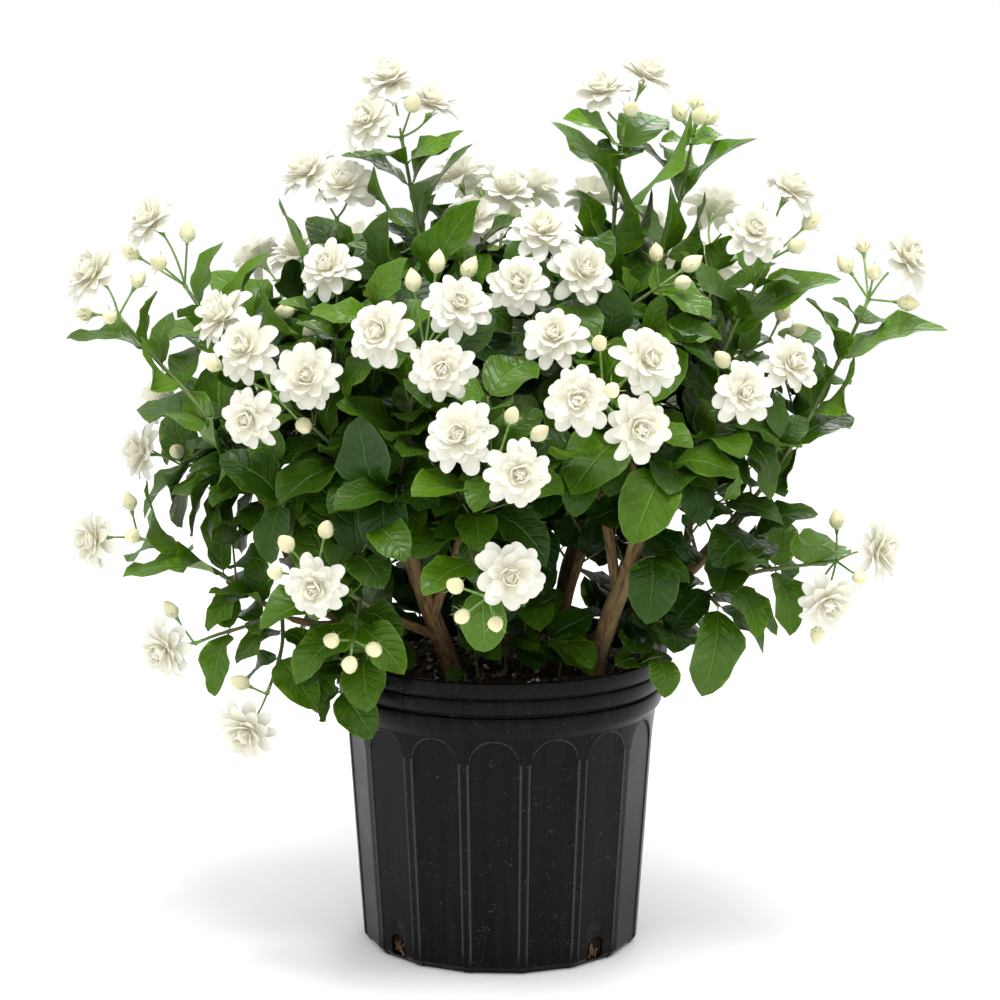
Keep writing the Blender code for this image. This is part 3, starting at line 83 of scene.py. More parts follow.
# blooms: the hub of the flower stalks, the open flowers and the buds
bloomPlan = {
    "blooms_top_left": [(-7.9, 0.0, 65.6), [(-8.7, -1.2, 69.9), (-10.2, -3.0, 66.8), (-5.6, 1.0, 67.9)],
        [(-6.9, -3.4, 68.4)]],
    "blooms_high_left": [(-13.2, 1.8, 59.0), [(-15.3, 1.6, 62.4), (-12.3, -0.6, 61.6)], []],
    "blooms_high_centre": [(-1.1, 7.2, 57.2), [(-3.4, 6.4, 61.8), (0.4, 4.9, 60.6), (-2.2, 2.6, 58.6)], []],
    "blooms_upper_front": [(3.6, -9.4, 54.2), [(3.2, -11.0, 58.8), (1.4, -15.0, 55.4), (6.0, -12.6, 56.0)], []],
    "blooms_top_right": [(9.7, 0.0, 66.4), [(8.0, -1.0, 69.0), (11.4, 0.8, 70.1)], [(10.2, -2.8, 68.0)]],
    "blooms_high_right": [(21.2, -2.0, 56.0), [(19.6, -5.4, 58.3), (22.7, -1.6, 61.2)],
        [(24.6, -1.0, 59.0), (23.2, -4.2, 57.4), (20.6, 0.6, 59.6)]],
    "blooms_far_right": [(29.3, -1.0, 52.8), [(31.8, -2.4, 56.0)],
        [(27.4, -1.0, 55.6), (29.0, 1.0, 56.9), (29.4, -3.6, 55.2), (32.3, -2.0, 52.6)]],
    "blooms_left_upper": [(-25.5, 2.0, 53.6), [(-27.8, 0.8, 58.7)],
        [(-29.8, 2.2, 56.2), (-25.0, 0.0, 58.0), (-27.2, -1.8, 55.8)]],
    "blooms_far_left": [(-30.4, -2.0, 51.6), [(-31.9, -3.2, 54.8)],
        [(-33.2, -1.0, 51.6), (-28.8, -1.6, 54.4), (-30.8, -4.6, 51.8)]],
    "blooms_upper_left": [(-12.9, -5.4, 52.8), [(-13.2, -8.2, 55.8)], [(-17.0, -3.6, 52.2), (-14.9, -5.2, 51.0)]],
    "blooms_front_left": [(-17.8, -8.8, 46.4),
        [(-21.4, -8.2, 52.0), (-19.2, -13.0, 50.2), (-14.6, -15.0, 48.4), (-18.8, -15.4, 45.4)],
        [(-15.0, -14.2, 44.6), (-22.2, -10.2, 48.8)]],
    "blooms_front_centre": [(-5.8, -14.2, 50.4), [(-8.8, -19.0, 52.2), (-4.3, -21.8, 50.0), (-3.2, -17.4, 54.0)],
        [(-6.6, -15.6, 55.8), (-4.8, -13.8, 57.0), (-2.4, -14.0, 56.6)]],
    "blooms_front_right": [(7.7, -16.8, 46.8),
        [(4.0, -20.4, 52.0), (5.6, -24.6, 48.0), (10.6, -21.6, 50.4), (9.9, -23.2, 45.8)],
        [(7.2, -22.6, 52.0), (8.0, -26.0, 49.0)]],
    "blooms_right_front": [(20.2, -9.8, 45.4), [(18.2, -16.6, 47.4), (21.9, -13.0, 49.0)], [(16.8, -13.6, 49.6)]],
    "blooms_mid_front": [(-0.4, -20.6, 42.6), [(-2.8, -24.6, 45.4), (1.2, -26.6, 43.0)],
        [(0.8, -23.6, 46.8), (2.8, -23.0, 45.4)]],
    "blooms_low_front_left": [(-14.2, -14.8, 33.0), [(-13.8, -20.0, 33.4)],
        [(-16.2, -18.0, 36.2), (-13.2, -17.6, 37.2), (-17.0, -19.0, 34.2)]],
    "blooms_low_front": [(-1.0, -20.4, 32.6), [(0.6, -25.0, 35.2)],
        [(-3.4, -24.0, 34.2), (-2.9, -23.6, 31.8), (-0.4, -25.4, 31.6)]],
    "blooms_left_low": [(-29.4, 0.0, 33.2), [(-32.4, -2.4, 33.6)], [(-30.0, -0.6, 36.3), (-29.4, -4.2, 34.2)]],
    "blooms_left_lower": [(-24.6, -4.2, 25.4), [(-26.4, -7.0, 25.6)], [(-26.4, -4.4, 28.2)]],
    "blooms_left_hanging": [(-18.6, -7.4, 22.0), [(-19.7, -11.6, 20.4)], [(-20.6, -8.4, 23.2)]],
    "blooms_low_right": [(26.6, -6.0, 32.5), [(25.3, -10.2, 30.3), (29.4, -7.2, 33.6)],
        [(26.6, -5.8, 35.8), (24.9, -8.8, 27.2), (28.0, -10.2, 32.0)]],
    "blooms_left_mid": [(-26.2, 4.6, 38.4), [(-29.0, 4.0, 39.6)], [(-26.4, 2.2, 40.0)]],
    "blooms_left_back": [(-25.6, 9.2, 42.0), [(-27.8, 9.4, 43.6)], []],
    "blooms_back_upper_left": [(-18.0, 8.0, 52.4), [(-20.0, 9.6, 54.8), (-16.6, 6.0, 55.4)], []],
    "blooms_back_upper_right": [(9.8, 9.4, 56.2), [(7.6, 11.6, 59.6), (12.0, 11.0, 57.2)], []],
    "blooms_back_right": [(17.4, 10.2, 56.0), [(17.8, 12.6, 58.6)], [(19.0, 9.0, 58.0)]],
    "blooms_rear_left_high": [(-14.0, 18.2, 50.8),
        [(-12.6, 19.4, 55.0), (-17.0, 19.8, 52.4), (-13.4, 22.6, 51.0)],
        [(-10.8, 21.4, 53.6)]],
    "blooms_rear_left_low": [(-18.4, 21.6, 42.8), [(-21.6, 23.8, 43.4), (-17.2, 25.8, 42.0)],
        [(-19.2, 24.0, 46.0)]],
    "blooms_rear_centre_high": [(0.1, 16.2, 56.8), [(-1.8, 18.4, 60.2), (2.8, 17.6, 59.8), (0.6, 21.6, 58.2)],
        []],
    "blooms_rear_centre_low": [(1.8, 22.0, 46.6), [(-0.4, 26.0, 48.4), (4.2, 25.4, 47.0), (1.6, 25.6, 43.4)],
        [(1.4, 23.4, 49.6)]],
    "blooms_rear_right_high": [(15.6, 17.4, 50.6), [(13.2, 20.0, 53.8), (18.2, 18.4, 53.4), (16.6, 22.2, 50.6)],
        [(15.8, 19.2, 55.2)]],
    "blooms_rear_right_low": [(19.4, 20.8, 41.4), [(22.4, 22.4, 42.0), (18.6, 25.2, 42.4)], [(21.4, 23.6, 45.0)]],
}

# leafy shoots: the limb that carries them and their stems, each with a bloom or loose buds at its end
shootPlan = {
    "shoot_top_left": ("wood_centre", 0, [
        ([(-5.1, -2.2, 47.0), (-5.9, -1.6, 54.0), (-7.0, -0.2, 60.7)], "blooms_top_left"),
        ([(-5.2, -2.1, 47.6), (-8.8, -1.0, 50.8), (-11.9, 0.4, 54.4)], "blooms_high_left"),
        ([(-4.6, -1.9, 44.6), (-2.6, 2.6, 49.0), (-1.5, 5.6, 53.4)], "blooms_high_centre")]),
    "shoot_top_right": ("wood_centre_right", 0, [
        ([(8.0, -1.0, 44.7), (8.6, -0.2, 52.6), (9.1, 0.0, 60.6)], "blooms_top_right"),
        ([(8.1, -0.9, 46.6), (11.2, 1.0, 50.6), (13.0, 2.0, 55.2), (14.5, 2.8, 60.6),
          (15.4, 3.0, 65.4)], [(15.7, 3.4, 68.2), (14.3, 3.0, 67.4), (16.9, 3.4, 67.0), (15.8, 1.4, 67.2)]),
        ([(8.0, -1.0, 45.4), (8.7, 4.0, 50.4), (9.4, 7.8, 54.0)], "blooms_back_upper_right")]),
    "shoot_upper_front": ("wood_front_right", 3, [
        ([(5.2, -8.6, 47.8), (4.2, -9.0, 51.8)], "blooms_upper_front"),
        ([(5.2, -8.6, 48.0), (9.0, -7.2, 52.2), (12.2, -7.0, 54.4)], [(12.0, -8.2, 57.2), (14.8, -6.6, 56.2),
          (14.0, -9.2, 55.0)])]),
    "shoot_front_centre": ("wood_front_left", 1, [
        ([(-7.4, -11.8, 42.8), (-6.6, -13.2, 47.2)], "blooms_front_centre")]),
    "shoot_front_left": ("wood_front_left", 2, [
        ([(-13.4, -9.2, 42.6), (-15.8, -9.0, 44.8)], "blooms_front_left"),
        ([(-12.4, -9.1, 41.6), (-12.9, -7.6, 47.0), (-12.9, -6.2, 50.4)], "blooms_upper_left")]),
    "shoot_mid_front": ("wood_front_left", 3, [
        ([(-2.0, -15.4, 38.2), (-0.9, -18.4, 40.8)], "blooms_mid_front"),
        ([(-2.5, -14.0, 37.0), (-2.4, -16.8, 35.6), (-1.5, -18.9, 33.8)], "blooms_low_front")]),
    "shoot_low_front_left": ("wood_front_left", 4, [
        ([(-11.8, -12.8, 31.4), (-13.2, -14.0, 32.4)], "blooms_low_front_left"),
        ([(-10.9, -11.9, 30.6), (-11.0, -14.4, 29.4), (-11.3, -16.4, 28.4)], [(-12.8, -19.2, 29.0),
          (-11.4, -19.6, 27.2), (-9.6, -18.8, 28.2)])]),
    "shoot_left_upper": ("wood_left", 1, [
        ([(-19.2, -1.4, 43.4), (-21.4, -0.4, 47.4), (-23.8, 1.0, 51.2)], "blooms_left_upper"),
        ([(-19.4, -1.3, 43.8), (-19.4, 2.4, 47.6), (-18.6, 6.2, 50.6)], "blooms_back_upper_left")]),
    "shoot_far_left": ("wood_left", 0, [
        ([(-22.2, -3.6, 42.0), (-24.9, -2.4, 45.4), (-27.6, -2.0, 48.2), (-29.4, -2.0, 50.4)], "blooms_far_left"),
        ([(-20.6, -4.3, 40.0), (-22.8, -0.6, 39.4), (-25.0, 2.8, 38.8)], "blooms_left_mid"),
        ([(-21.6, -3.9, 41.2), (-22.6, 2.4, 42.4), (-24.4, 6.8, 42.4)], "blooms_left_back")]),
    "shoot_low_left": ("wood_left", 2, [
        ([(-18.8, -2.8, 28.2), (-23.0, -1.4, 30.8), (-27.2, -0.2, 32.8)], "blooms_left_low"),
        ([(-18.0, -3.0, 27.8), (-20.4, -4.2, 26.8), (-22.8, -4.4, 26.2)], "blooms_left_lower"),
        ([(-17.6, -3.1, 27.6), (-17.4, -5.0, 25.6), (-17.9, -6.4, 23.8)], "blooms_left_hanging")]),
    "shoot_front_right": ("wood_front_right", 1, [
        ([(8.9, -14.6, 44.2), (8.2, -16.0, 45.8)], "blooms_front_right")]),
    "shoot_right_front": ("wood_front_right", 2, [
        ([(16.8, -9.2, 43.8), (18.8, -9.6, 44.8)], "blooms_right_front")]),
    "shoot_high_right": ("wood_right", 1, [
        ([(15.5, -3.7, 43.6), (17.0, -3.0, 47.6), (19.2, -2.2, 51.9)], "blooms_high_right"),
        ([(16.6, -3.2, 46.6), (19.4, -0.4, 48.4), (21.6, 1.2, 49.2)], [(22.8, 2.2, 51.4), (23.8, 0.2, 50.2)]),
        ([(15.9, -3.6, 44.6), (16.8, 3.4, 49.6), (17.2, 8.0, 53.6)], "blooms_back_right")]),
    "shoot_far_right": ("wood_right", 0, [
        ([(21.0, -2.9, 38.0), (24.5, -1.8, 43.0), (26.2, -1.2, 46.2), (28.0, -1.0, 49.8)], "blooms_far_right")]),
    "shoot_low_right": ("wood_right", 2, [
        ([(17.0, -3.9, 29.8), (20.2, -4.6, 31.4), (23.6, -5.4, 32.0)], "blooms_low_right"),
        ([(16.4, -3.7, 29.5), (17.4, -4.8, 28.6)], [])]),
    "shoot_rear_left": ("wood_back_left", 0, [
        ([(-10.4, 15.4, 44.2), (-12.8, 17.4, 48.2)], "blooms_rear_left_high"),
        ([(-9.4, 14.4, 42.6), (-13.4, 17.8, 42.6), (-16.6, 20.4, 42.6)], "blooms_rear_left_low"),
        ([(-8.8, 13.8, 41.6), (-8.8, 18.4, 38.6), (-9.4, 22.4, 36.0)], [(-10.2, 24.6, 37.4), (-8.4, 25.0, 35.8),
          (-10.4, 24.2, 34.4)])]),
    "shoot_rear_centre": ("wood_back_left", 1, [
        ([(-1.2, 13.6, 45.6), (-0.4, 15.2, 52.0)], "blooms_rear_centre_high"),
        ([(-1.4, 13.0, 43.4), (0.2, 17.4, 44.8), (1.2, 20.4, 45.8)], "blooms_rear_centre_low")]),
    "shoot_rear_right": ("wood_back_right", 0, [
        ([(12.2, 14.8, 44.6), (14.4, 16.6, 48.4)], "blooms_rear_right_high"),
        ([(11.2, 14.0, 43.0), (14.8, 17.4, 41.8), (17.6, 19.6, 41.4)], "blooms_rear_right_low"),
        ([(10.4, 13.2, 41.4), (9.6, 18.0, 38.2), (9.0, 21.8, 36.0)], [(7.8, 24.0, 37.0), (9.6, 24.6, 35.4),
          (10.6, 23.4, 37.6)])]),
}

# leaf pairs seen from the front: shoot, stem, share of its length and the two tips
seenLeaves = [
    ("shoot_top_left", 0, 0.86, (-2.9, -1.4, 66.2), (-12.7, -0.6, 64.2)),
    ("shoot_top_left", 0, 0.70, (-2.2, 1.6, 65.0), (-11.2, -2.4, 63.2)),
    ("shoot_top_left", 0, 0.50, (-1.6, -3.4, 60.9), (-12.2, -2.8, 57.4)),
    ("shoot_top_left", 1, 0.62, (-19.6, -0.4, 58.7), (-8.6, -2.6, 57.6)),
    ("shoot_top_right", 0, 0.78, (3.9, -1.6, 66.9), (15.0, -1.6, 67.9)),
    ("shoot_top_right", 0, 0.64, (5.8, -3.0, 63.8), (12.1, -2.8, 64.2)),
    ("shoot_top_right", 0, 0.46, (3.4, 0.8, 60.7), (14.6, -1.8, 61.8)),
    ("shoot_top_right", 1, 0.74, (11.3, 1.0, 65.6), (20.5, 1.6, 65.4)),
    ("shoot_top_right", 1, 0.52, (16.1, -1.4, 61.4), (9.8, 5.6, 60.2)),
    ("shoot_high_right", 0, 0.62, (14.0, -3.6, 56.9), (26.9, -3.0, 54.6)),
    ("shoot_far_right", 0, 0.74, (22.9, -2.6, 53.6), (35.6, -2.0, 50.4)),
    ("shoot_far_right", 0, 0.50, (27.9, -4.4, 48.8), (23.0, 3.6, 49.2)),
    ("shoot_far_right", 0, 0.34, (29.6, -1.6, 42.9), (20.4, -4.2, 44.4)),
    ("shoot_far_right", 0, 0.14, (25.6, -3.6, 39.6), (21.8, 2.6, 41.6)),
    ("shoot_left_upper", 0, 0.90, (-28.3, -1.4, 55.4), (-22.4, 3.2, 57.0)),
    ("shoot_left_upper", 0, 0.62, (-29.0, 0.6, 50.6), (-18.6, 0.8, 56.4)),
    ("shoot_far_left", 0, 0.82, (-34.6, -2.4, 49.8), (-27.0, -4.0, 53.8)),
    ("shoot_far_left", 0, 0.58, (-30.2, -5.2, 48.4), (-23.6, 1.2, 49.8)),
    ("shoot_far_left", 0, 0.32, (-30.4, -3.0, 44.2), (-20.8, -7.4, 44.6)),
    ("shoot_low_left", 0, 0.76, (-28.2, -3.4, 38.6), (-26.2, 3.6, 29.6)),
    ("shoot_low_left", 0, 0.48, (-30.6, -2.8, 29.4), (-21.4, 0.8, 37.2)),
    ("shoot_low_left", 0, 0.18, (-23.4, -4.6, 29.6), (-19.2, -1.2, 33.4)),
    ("shoot_low_left", 1, 0.62, (-22.8, -6.6, 21.6), (-22.0, -0.8, 29.2)),
    ("shoot_low_left", 2, 0.60, (-20.8, -3.6, 21.4), (-14.6, -9.4, 21.2)),
    ("shoot_low_right", 0, 0.62, (22.8, -7.8, 26.8), (22.6, -2.6, 35.6)),
    ("shoot_low_right", 0, 0.30, (20.4, -8.8, 33.2), (20.2, -8.4, 26.8)),
    ("shoot_low_right", 1, 0.92, (16.0, -6.6, 21.6), (18.8, -5.6, 23.4)),
    ("shoot_mid_front", 1, 0.62, (3.4, -22.4, 30.8), (-5.8, -22.0, 33.0)),
    ("shoot_mid_front", 0, 0.62, (4.6, -23.0, 40.8), (-6.6, -22.6, 40.6)),
    ("shoot_front_right", 0, 0.42, (5.2, -20.8, 40.4), (13.0, -19.0, 41.8)),
    ("shoot_low_front_left", 0, 0.40, (-9.2, -17.6, 33.6), (-18.4, -16.2, 29.2)),
    ("shoot_low_front_left", 1, 0.60, (-7.4, -16.8, 25.8), (-15.6, -17.6, 25.2)),
    ("shoot_front_centre", 0, 0.35, (-6.2, -18.8, 44.6), (-12.0, -15.6, 45.4)),
]

# sizes of the solids in centimetres, the joint's gap in metres: the pieces here follow them
stemSizes = dict(gap=0.0003, step=5.6, woodStep=6.4, hub=0.31, peduncle=0.6, lead=0.5)
bush = dict(heart=(0.0, 0.0, 44.0), rear=6.0)    # flowers and leaves nearer than rear turn to the front


def unit(vector):
    return vector / np.linalg.norm(vector)


def units(vectors):
    return vectors / np.linalg.norm(vectors, axis=-1, keepdims=True)


# as many turns as count, evenly round a circle
def turnsOf(count):
    return np.arange(count) * 2 * math.pi / count


# reach (cos turn side + sin turn other) for each turn
def circle(turns, side, other, reach=1.0):
    return np.outer(reach * np.cos(turns), side) + np.outer(reach * np.sin(turns), other)


# the first direction turned to the second by an angle
def turned(side, other, angle):
    return side * math.cos(angle) + other * math.sin(angle)


# the same for many pairs, one angle to a pair
def turnedEach(side, other, angles):
    return side * np.cos(angles)[:, None] + other * np.sin(angles)[:, None]


# cos turn side + sin turn other for every turn and every pair of directions
def ringsAbout(turns, side, other):
    return np.cos(turns)[None, :, None] * side[:, None] + np.sin(turns)[None, :, None] * other[:, None]


# two directions square to an axis, turned about it
def frameAbout(axis, spin=0.0):
    side = np.cross(axis, (0.0, 0.0, 1.0))
    if np.linalg.norm(side) < 0.2:
        side = np.cross(axis, (0.0, 1.0, 0.0))
    side = unit(side)
    other = np.cross(axis, side)
    return turned(side, other, spin), turned(other, -side, spin)


# the same for many axes: all the sides, then all the others
def framesOf(axes):
    return np.array([frameAbout(axis) for axis in axes]).transpose(1, 0, 2)


# an array for each key out of a list of records
def columnsOf(records, *keys):
    return [np.array([record[key] for record in records]) for key in keys]


# values brought to one shape and laid side by side
def stacked(*values):
    return np.stack(np.broadcast_arrays(*values), axis=-1)


# a Catmull-Rom curve through the points, read about every step
def smoothPath(points, step):
    points = np.array(points, float)
    ends = np.vstack([2 * points[0] - points[1], points, 2 * points[-1] - points[-2]])
    path = [points[0]]
    for before, start, stop, after in zip(ends, ends[1:], ends[2:], ends[3:]):
        count = max(1, round(np.linalg.norm(stop - start) / step))
        for t in np.arange(1, count + 1) / count:
            path.append(0.5 * (2 * start + (stop - before) * t
                               + (2 * before - 5 * start + 4 * stop - after) * t ** 2
                               + (3 * start - before - 3 * stop + after) * t ** 3))
    return np.array(path)


def spansOf(path):
    return np.linalg.norm(np.diff(path, axis=0), axis=1)


def pathLength(path):
    return float(spansOf(path).sum())


# the point and the direction at a share of a path's length
def along(path, share):
    spans = spansOf(path)
    reach = np.concatenate([[0], np.cumsum(spans)])
    place = share * reach[-1]
    index = min(int(np.searchsorted(reach, place, side="right")) - 1, len(spans) - 1)
    step = (place - reach[index]) / spans[index]
    return path[index] + (path[index + 1] - path[index]) * step, (path[index + 1] - path[index]) / spans[index]


# the point of a path nearest to a given one
def nearestOn(path, point):
    places = np.array([along(path, share)[0] for share in np.linspace(0, 1, 81)])
    return places[np.argmin(np.linalg.norm(places - point, axis=1))]


# each limb's path; its last stretch is straight, so that a shoot can stand end to end with it
def woodPaths():
    paths = {}
    for name, limbs in woodLimbs.items():
        paths[name] = []
        for number, (_, _, points) in enumerate(limbs):
            points = np.array(points, float)
            if number == 0:
                path = np.vstack([points[:1], smoothPath(points[1:], stemSizes["woodStep"])])
            else:
                points[0] = nearestOn(paths[name][0], points[0])
                path = smoothPath(points, stemSizes["woodStep"])
            paths[name].append(path)
    return paths


# each shoot's stems: from the woody limb's end, or from an earlier stem, to the bloom's peduncle
def stemPaths(wood):
    stems, ends = {}, {}
    peduncle = stemSizes["peduncle"]
    for name, (limbName, limbNumber, rows) in shootPlan.items():
        limb = wood[limbName][limbNumber]
        direction = unit(limb[-1] - limb[-2])
        stems[name] = []
        for number, (points, tip) in enumerate(rows):
            points = np.array(points, float)
            if isinstance(tip, str):
                hub = np.array(bloomPlan[tip][0])
                away = unit(hub - points[-1])
                points = np.vstack([points, hub - away * (peduncle + stemSizes["lead"])])
            if number == 0:
                root = limb[-1] + direction * stemSizes["gap"] / cm
                points = np.vstack([root + direction * 0.5, points])
                path = np.vstack([root, smoothPath(points, stemSizes["step"])])
            else:
                points[0] = nearestOn(stems[name][0], points[0])
                path = smoothPath(points, stemSizes["step"])
            if isinstance(tip, str):
                path = np.vstack([path, hub - away * peduncle])
                ends[tip] = (path[-1], away)
            stems[name].append(path)
    return stems, ends


# rings of points round a path, for tests of clearance
def tubeRings(path, start, stop, sides=4):
    rings = []
    for centre, direction, radius in zip(path, np.gradient(path, axis=0), np.linspace(start, stop, len(path))):
        rings.append(centre + radius * circle(turnsOf(sides), *frameAbout(unit(direction))))
    return path[0], rings, path[-1]


# flowers and buds of the solids; a flower's axis is the sum of away from its hub, outward from the bush, to the
# front and up, each with its weight, and whorls are (reaches, lifts) of the petals' corners by its radius
flowerSizes = dict(
    radius=2.55, varied=0.05, petals=6, whorls=[((0.62, 1.0), (0.08, -0.06)), ((0.56,), (0.36,))], foot=0.26,
    heart=0.50, stalk=0.12, away=0.8, outward=0.75, front=0.5, up=0.12)
budSizes = dict(sides=6, width=0.68, length=0.90, widest=0.15, foot=0.9, point=1.15)


def flowerAxis(flower, hub):
    outward = unit(flower - np.array(bush["heart"]))
    front = flowerSizes["front"] if flower[1] < bush["rear"] else 0.0
    return unit(flowerSizes["away"] * unit(flower - hub) + flowerSizes["outward"] * outward
                + np.array((0.0, -front, flowerSizes["up"])))


# two triangles of points: in the hub, and where the stalk meets the flower or bud
def stalkRings(hub, foot, axis, spin):
    toward = unit(foot - hub)
    side, other = frameAbout(axis, spin)
    lowSide = unit(side - toward * np.dot(side, toward))
    ends = ((hub + 0.02 * toward, lowSide, np.cross(toward, lowSide)), (foot, side, other))
    return [place + flowerSizes["stalk"] * circle(turnsOf(3), right, up) for place, right, up in ends]


# a double flower on its stalk: two lobed whorls of petals, the inner turned half a petal, and a heart
def flowerRings(hub, centre, axis, radius, spin):
    side, other = frameAbout(axis, spin)
    rings = stalkRings(hub, centre - flowerSizes["foot"] * radius * axis, axis, spin)
    petals = flowerSizes["petals"]
    for reaches, lifts in flowerSizes["whorls"]:
        reach, lift = np.tile(reaches, petals), np.tile(lifts, petals)
        flat = circle(turnsOf(len(reach)), side, other, reach)
        rings.append(centre + radius * (flat + np.outer(lift, axis)))
    return rings[0].mean(axis=0), rings, centre + flowerSizes["heart"] * radius * axis


# a bud on its stalk: widest below the middle, with a drawn point
def budRings(hub, centre):
    axis = unit(centre - hub)
    length = budSizes["length"]
    ring = budSizes["width"] * circle(turnsOf(budSizes["sides"]), *frameAbout(axis))
    rings = stalkRings(hub, centre - budSizes["foot"] * length * axis, axis, 0.0)
    rings.append(centre - budSizes["widest"] * length * axis + ring)
    return rings[0].mean(axis=0), rings, centre + budSizes["point"] * length * axis


# leaves of the solids: width by the length, the stations across the blade with their widths and lifts, the
# midrib's arch, and the turns and shares that the search for a free place tries. Length, lean along the stem,
# droop, widen and wave are ranges, first is the first pair's place on a main stem and on a side stem
leafSizes = dict(
    length=(5.4, 8.0), width=0.56, widen=(-0.04, 0.10), seenWidth=0.50, lean=(0.25, 0.7), droop=(0.0, 0.35),
    wave=(-0.12, 0.12), first=(1.2, 2.6), spacing=6.3, turn=(-0.35, 0.35), thick=0.11, petiole=0.085,
    stations=(0.34, 0.72), widths=(1.0, 0.74), lifts=(0.16, 0.10), arch=0.42, front=0.22, outward=0.45, room=1.7,
    turns=(0, 22, -22, 44, -44, 66, -66, 90), shares=(1.0, 0.84, 0.7))


# a leaf: a petiole sunk in the stem, an arched midrib and raised, waved edges at two stations
def leafRings(base, tip, rise, width, wave, thickness):
    chord = tip - base
    length = np.linalg.norm(chord)
    ahead = chord / length
    up = unit(rise - ahead * np.dot(rise, ahead))
    side = np.cross(ahead, up)
    foot = base + 0.02 * ahead
    rings = [foot + leafSizes["petiole"] * np.array([side, up, -side, -up])]
    first, second = leafSizes["lifts"]
    for station, share, lift in zip(leafSizes["stations"], leafSizes["widths"], (first + wave, second - wave)):
        centre = base + chord * station + up * length * leafSizes["arch"] * station * (1 - station)
        half = 0.5 * width * share
        edge = up * half * lift * 2
        rings.append(np.array([centre + side * half + edge, centre + up * thickness / 2,
                               centre - side * half + edge, centre - up * thickness / 2]))
    return foot, rings, tip


# triangles between two rings, given their first points and their counts
def stitch(low, count, high, above):
    faces = []
    if above == count:
        for k in range(count):
            a, b = low + k, low + (k + 1) % count
            up, nextUp = high + k, high + (k + 1) % count
            faces += [(a, up, nextUp), (a, nextUp, b)] if k % 2 == 0 else [(b, a, up), (b, up, nextUp)]
    elif above > count:
        fan = above // count
        for k in range(count):
            spread = [high + (fan * k - fan // 2 + step) % above for step in range(fan + 1)]
            faces += [(low + k, near, far) for near, far in zip(spread, spread[1:])]
            faces.append((low + k, spread[-1], low + (k + 1) % count))
    else:
        for k in range(0, count, 2):
            a, b, c = (low + (k + step) % count for step in range(3))
            up, nextUp = high + k // 2, high + (k // 2 + 1) % above
            faces += [(a, up, b), (b, up, nextUp), (b, nextUp, c)]
    return faces


# points and triangles of a closed body: rings of points between two end points. The four-sided stretches
# of like rings are split from their even points, so that both faces of a thin waved blade split alike. A
# ring may also have twice, three or four times, or half the points of the one before
def skin(start, rings, stop):
    points = np.vstack([[start], *rings, [stop]])
    firsts = np.cumsum([1] + [len(ring) for ring in rings])
    count, last = len(rings[0]), len(points) - 1
    faces = [(0, 1 + k, 1 + (k + 1) % count) for k in range(count)]
    for ring, above, low, high in zip(rings, rings[1:], firsts, firsts[1:]):
        faces += stitch(int(low), len(ring), int(high), len(above))
    count = len(rings[-1])
    faces += [(last - count + k, last, last - count + (k + 1) % count) for k in range(count)]
    return points, faces


def treeOf(body):
    points, faces = body
    return BVHTree.FromPolygons([tuple(p) for p in points], faces)


# what already stands in the bush, as trees of triangles with their boxes
class Clearance:
    def __init__(self, most=4096):
        self.lows, self.highs, self.trees = np.zeros((most, 3)), np.zeros((most, 3)), []

    def add(self, body):
        self.lows[len(self.trees)] = body[0].min(axis=0)
        self.highs[len(self.trees)] = body[0].max(axis=0)
        self.trees.append(treeOf(body))

    def isFree(self, body):
        low, high, count = body[0].min(axis=0), body[0].max(axis=0), len(self.trees)
        near = np.flatnonzero(((low < self.highs[:count]) & (self.lows[:count] < high)).all(axis=1))
        tree = treeOf(body) if len(near) else None
        return not any(tree.overlap(self.trees[index]) for index in near)


# the pot and its soil as one plain body for the tests
def potBody():
    turns = turnsOf(24)
    rim = np.stack([np.cos(turns), np.sin(turns), np.zeros(24)], axis=1)
    rings = [rim * radius + (0, 0, height) for radius, height in
             ((11.6, 0.0), (13.9, 19.0), (13.9, 24.5), (12.6, 24.5), (12.4, 23.0))]
    return skin(np.array((0, 0, -0.1)), np.array(rings), np.array((0, 0, 23.4)))


# a bloom's flowers, buds and stalks, each with its place
def bloomPieces(name):
    hub, flowers, buds = (np.array(places) for places in bloomPlan[name])
    pieces = []
    for number, flower in enumerate(flowers):
        radius = flowerSizes["radius"] * (1.0 + flowerSizes["varied"] * math.cos(7.0 * flower.sum()))
        pieces.append(("flower", flower, flowerAxis(flower, hub), radius, 0.7 * number + flower.sum()))
    return hub, pieces + [("bud", bud, unit(bud - hub), 0.0, 0.0) for bud in buds]


# the bud places at a stem's end, where it ends in a spray of buds and not in a bloom
def looseBuds(tip):
    return [np.array(bud) for bud in tip] if isinstance(tip, list) else []


# turns the leaf about its stem, then shortens it, until its blade stands free
def placeLeaf(base, axis, direction, length, width, wave, clear, turns, shares):
    for share in shares:
        for turn in turns:
            aim = np.array(Matrix.Rotation(math.radians(turn), 3, Vector(axis)) @ Vector(direction))
            tip = base + aim * length * share
            outward = unit(np.array((tip[0], tip[1], 0.0)) + 1e-6)
            front = leafSizes["front"] if base[1] < bush["rear"] else 0.0
            rise = np.array((0.0, -front, 1.0)) + leafSizes["outward"] * outward
            if abs(np.dot(unit(rise), aim)) > 0.94:
                rise = outward
            thickness = leafSizes["thick"] * leafSizes["room"]
            _, rings, end = leafRings(base, tip, rise, width * share * 1.04, wave, thickness)
            blade = skin(base + (rings[1].mean(axis=0) - base) * 0.35, rings[1:], base + (end - base) * 1.04)
            if clear.isFree(blade):
                clear.add(blade)
                return tip, rise, width * share, wave
    return None


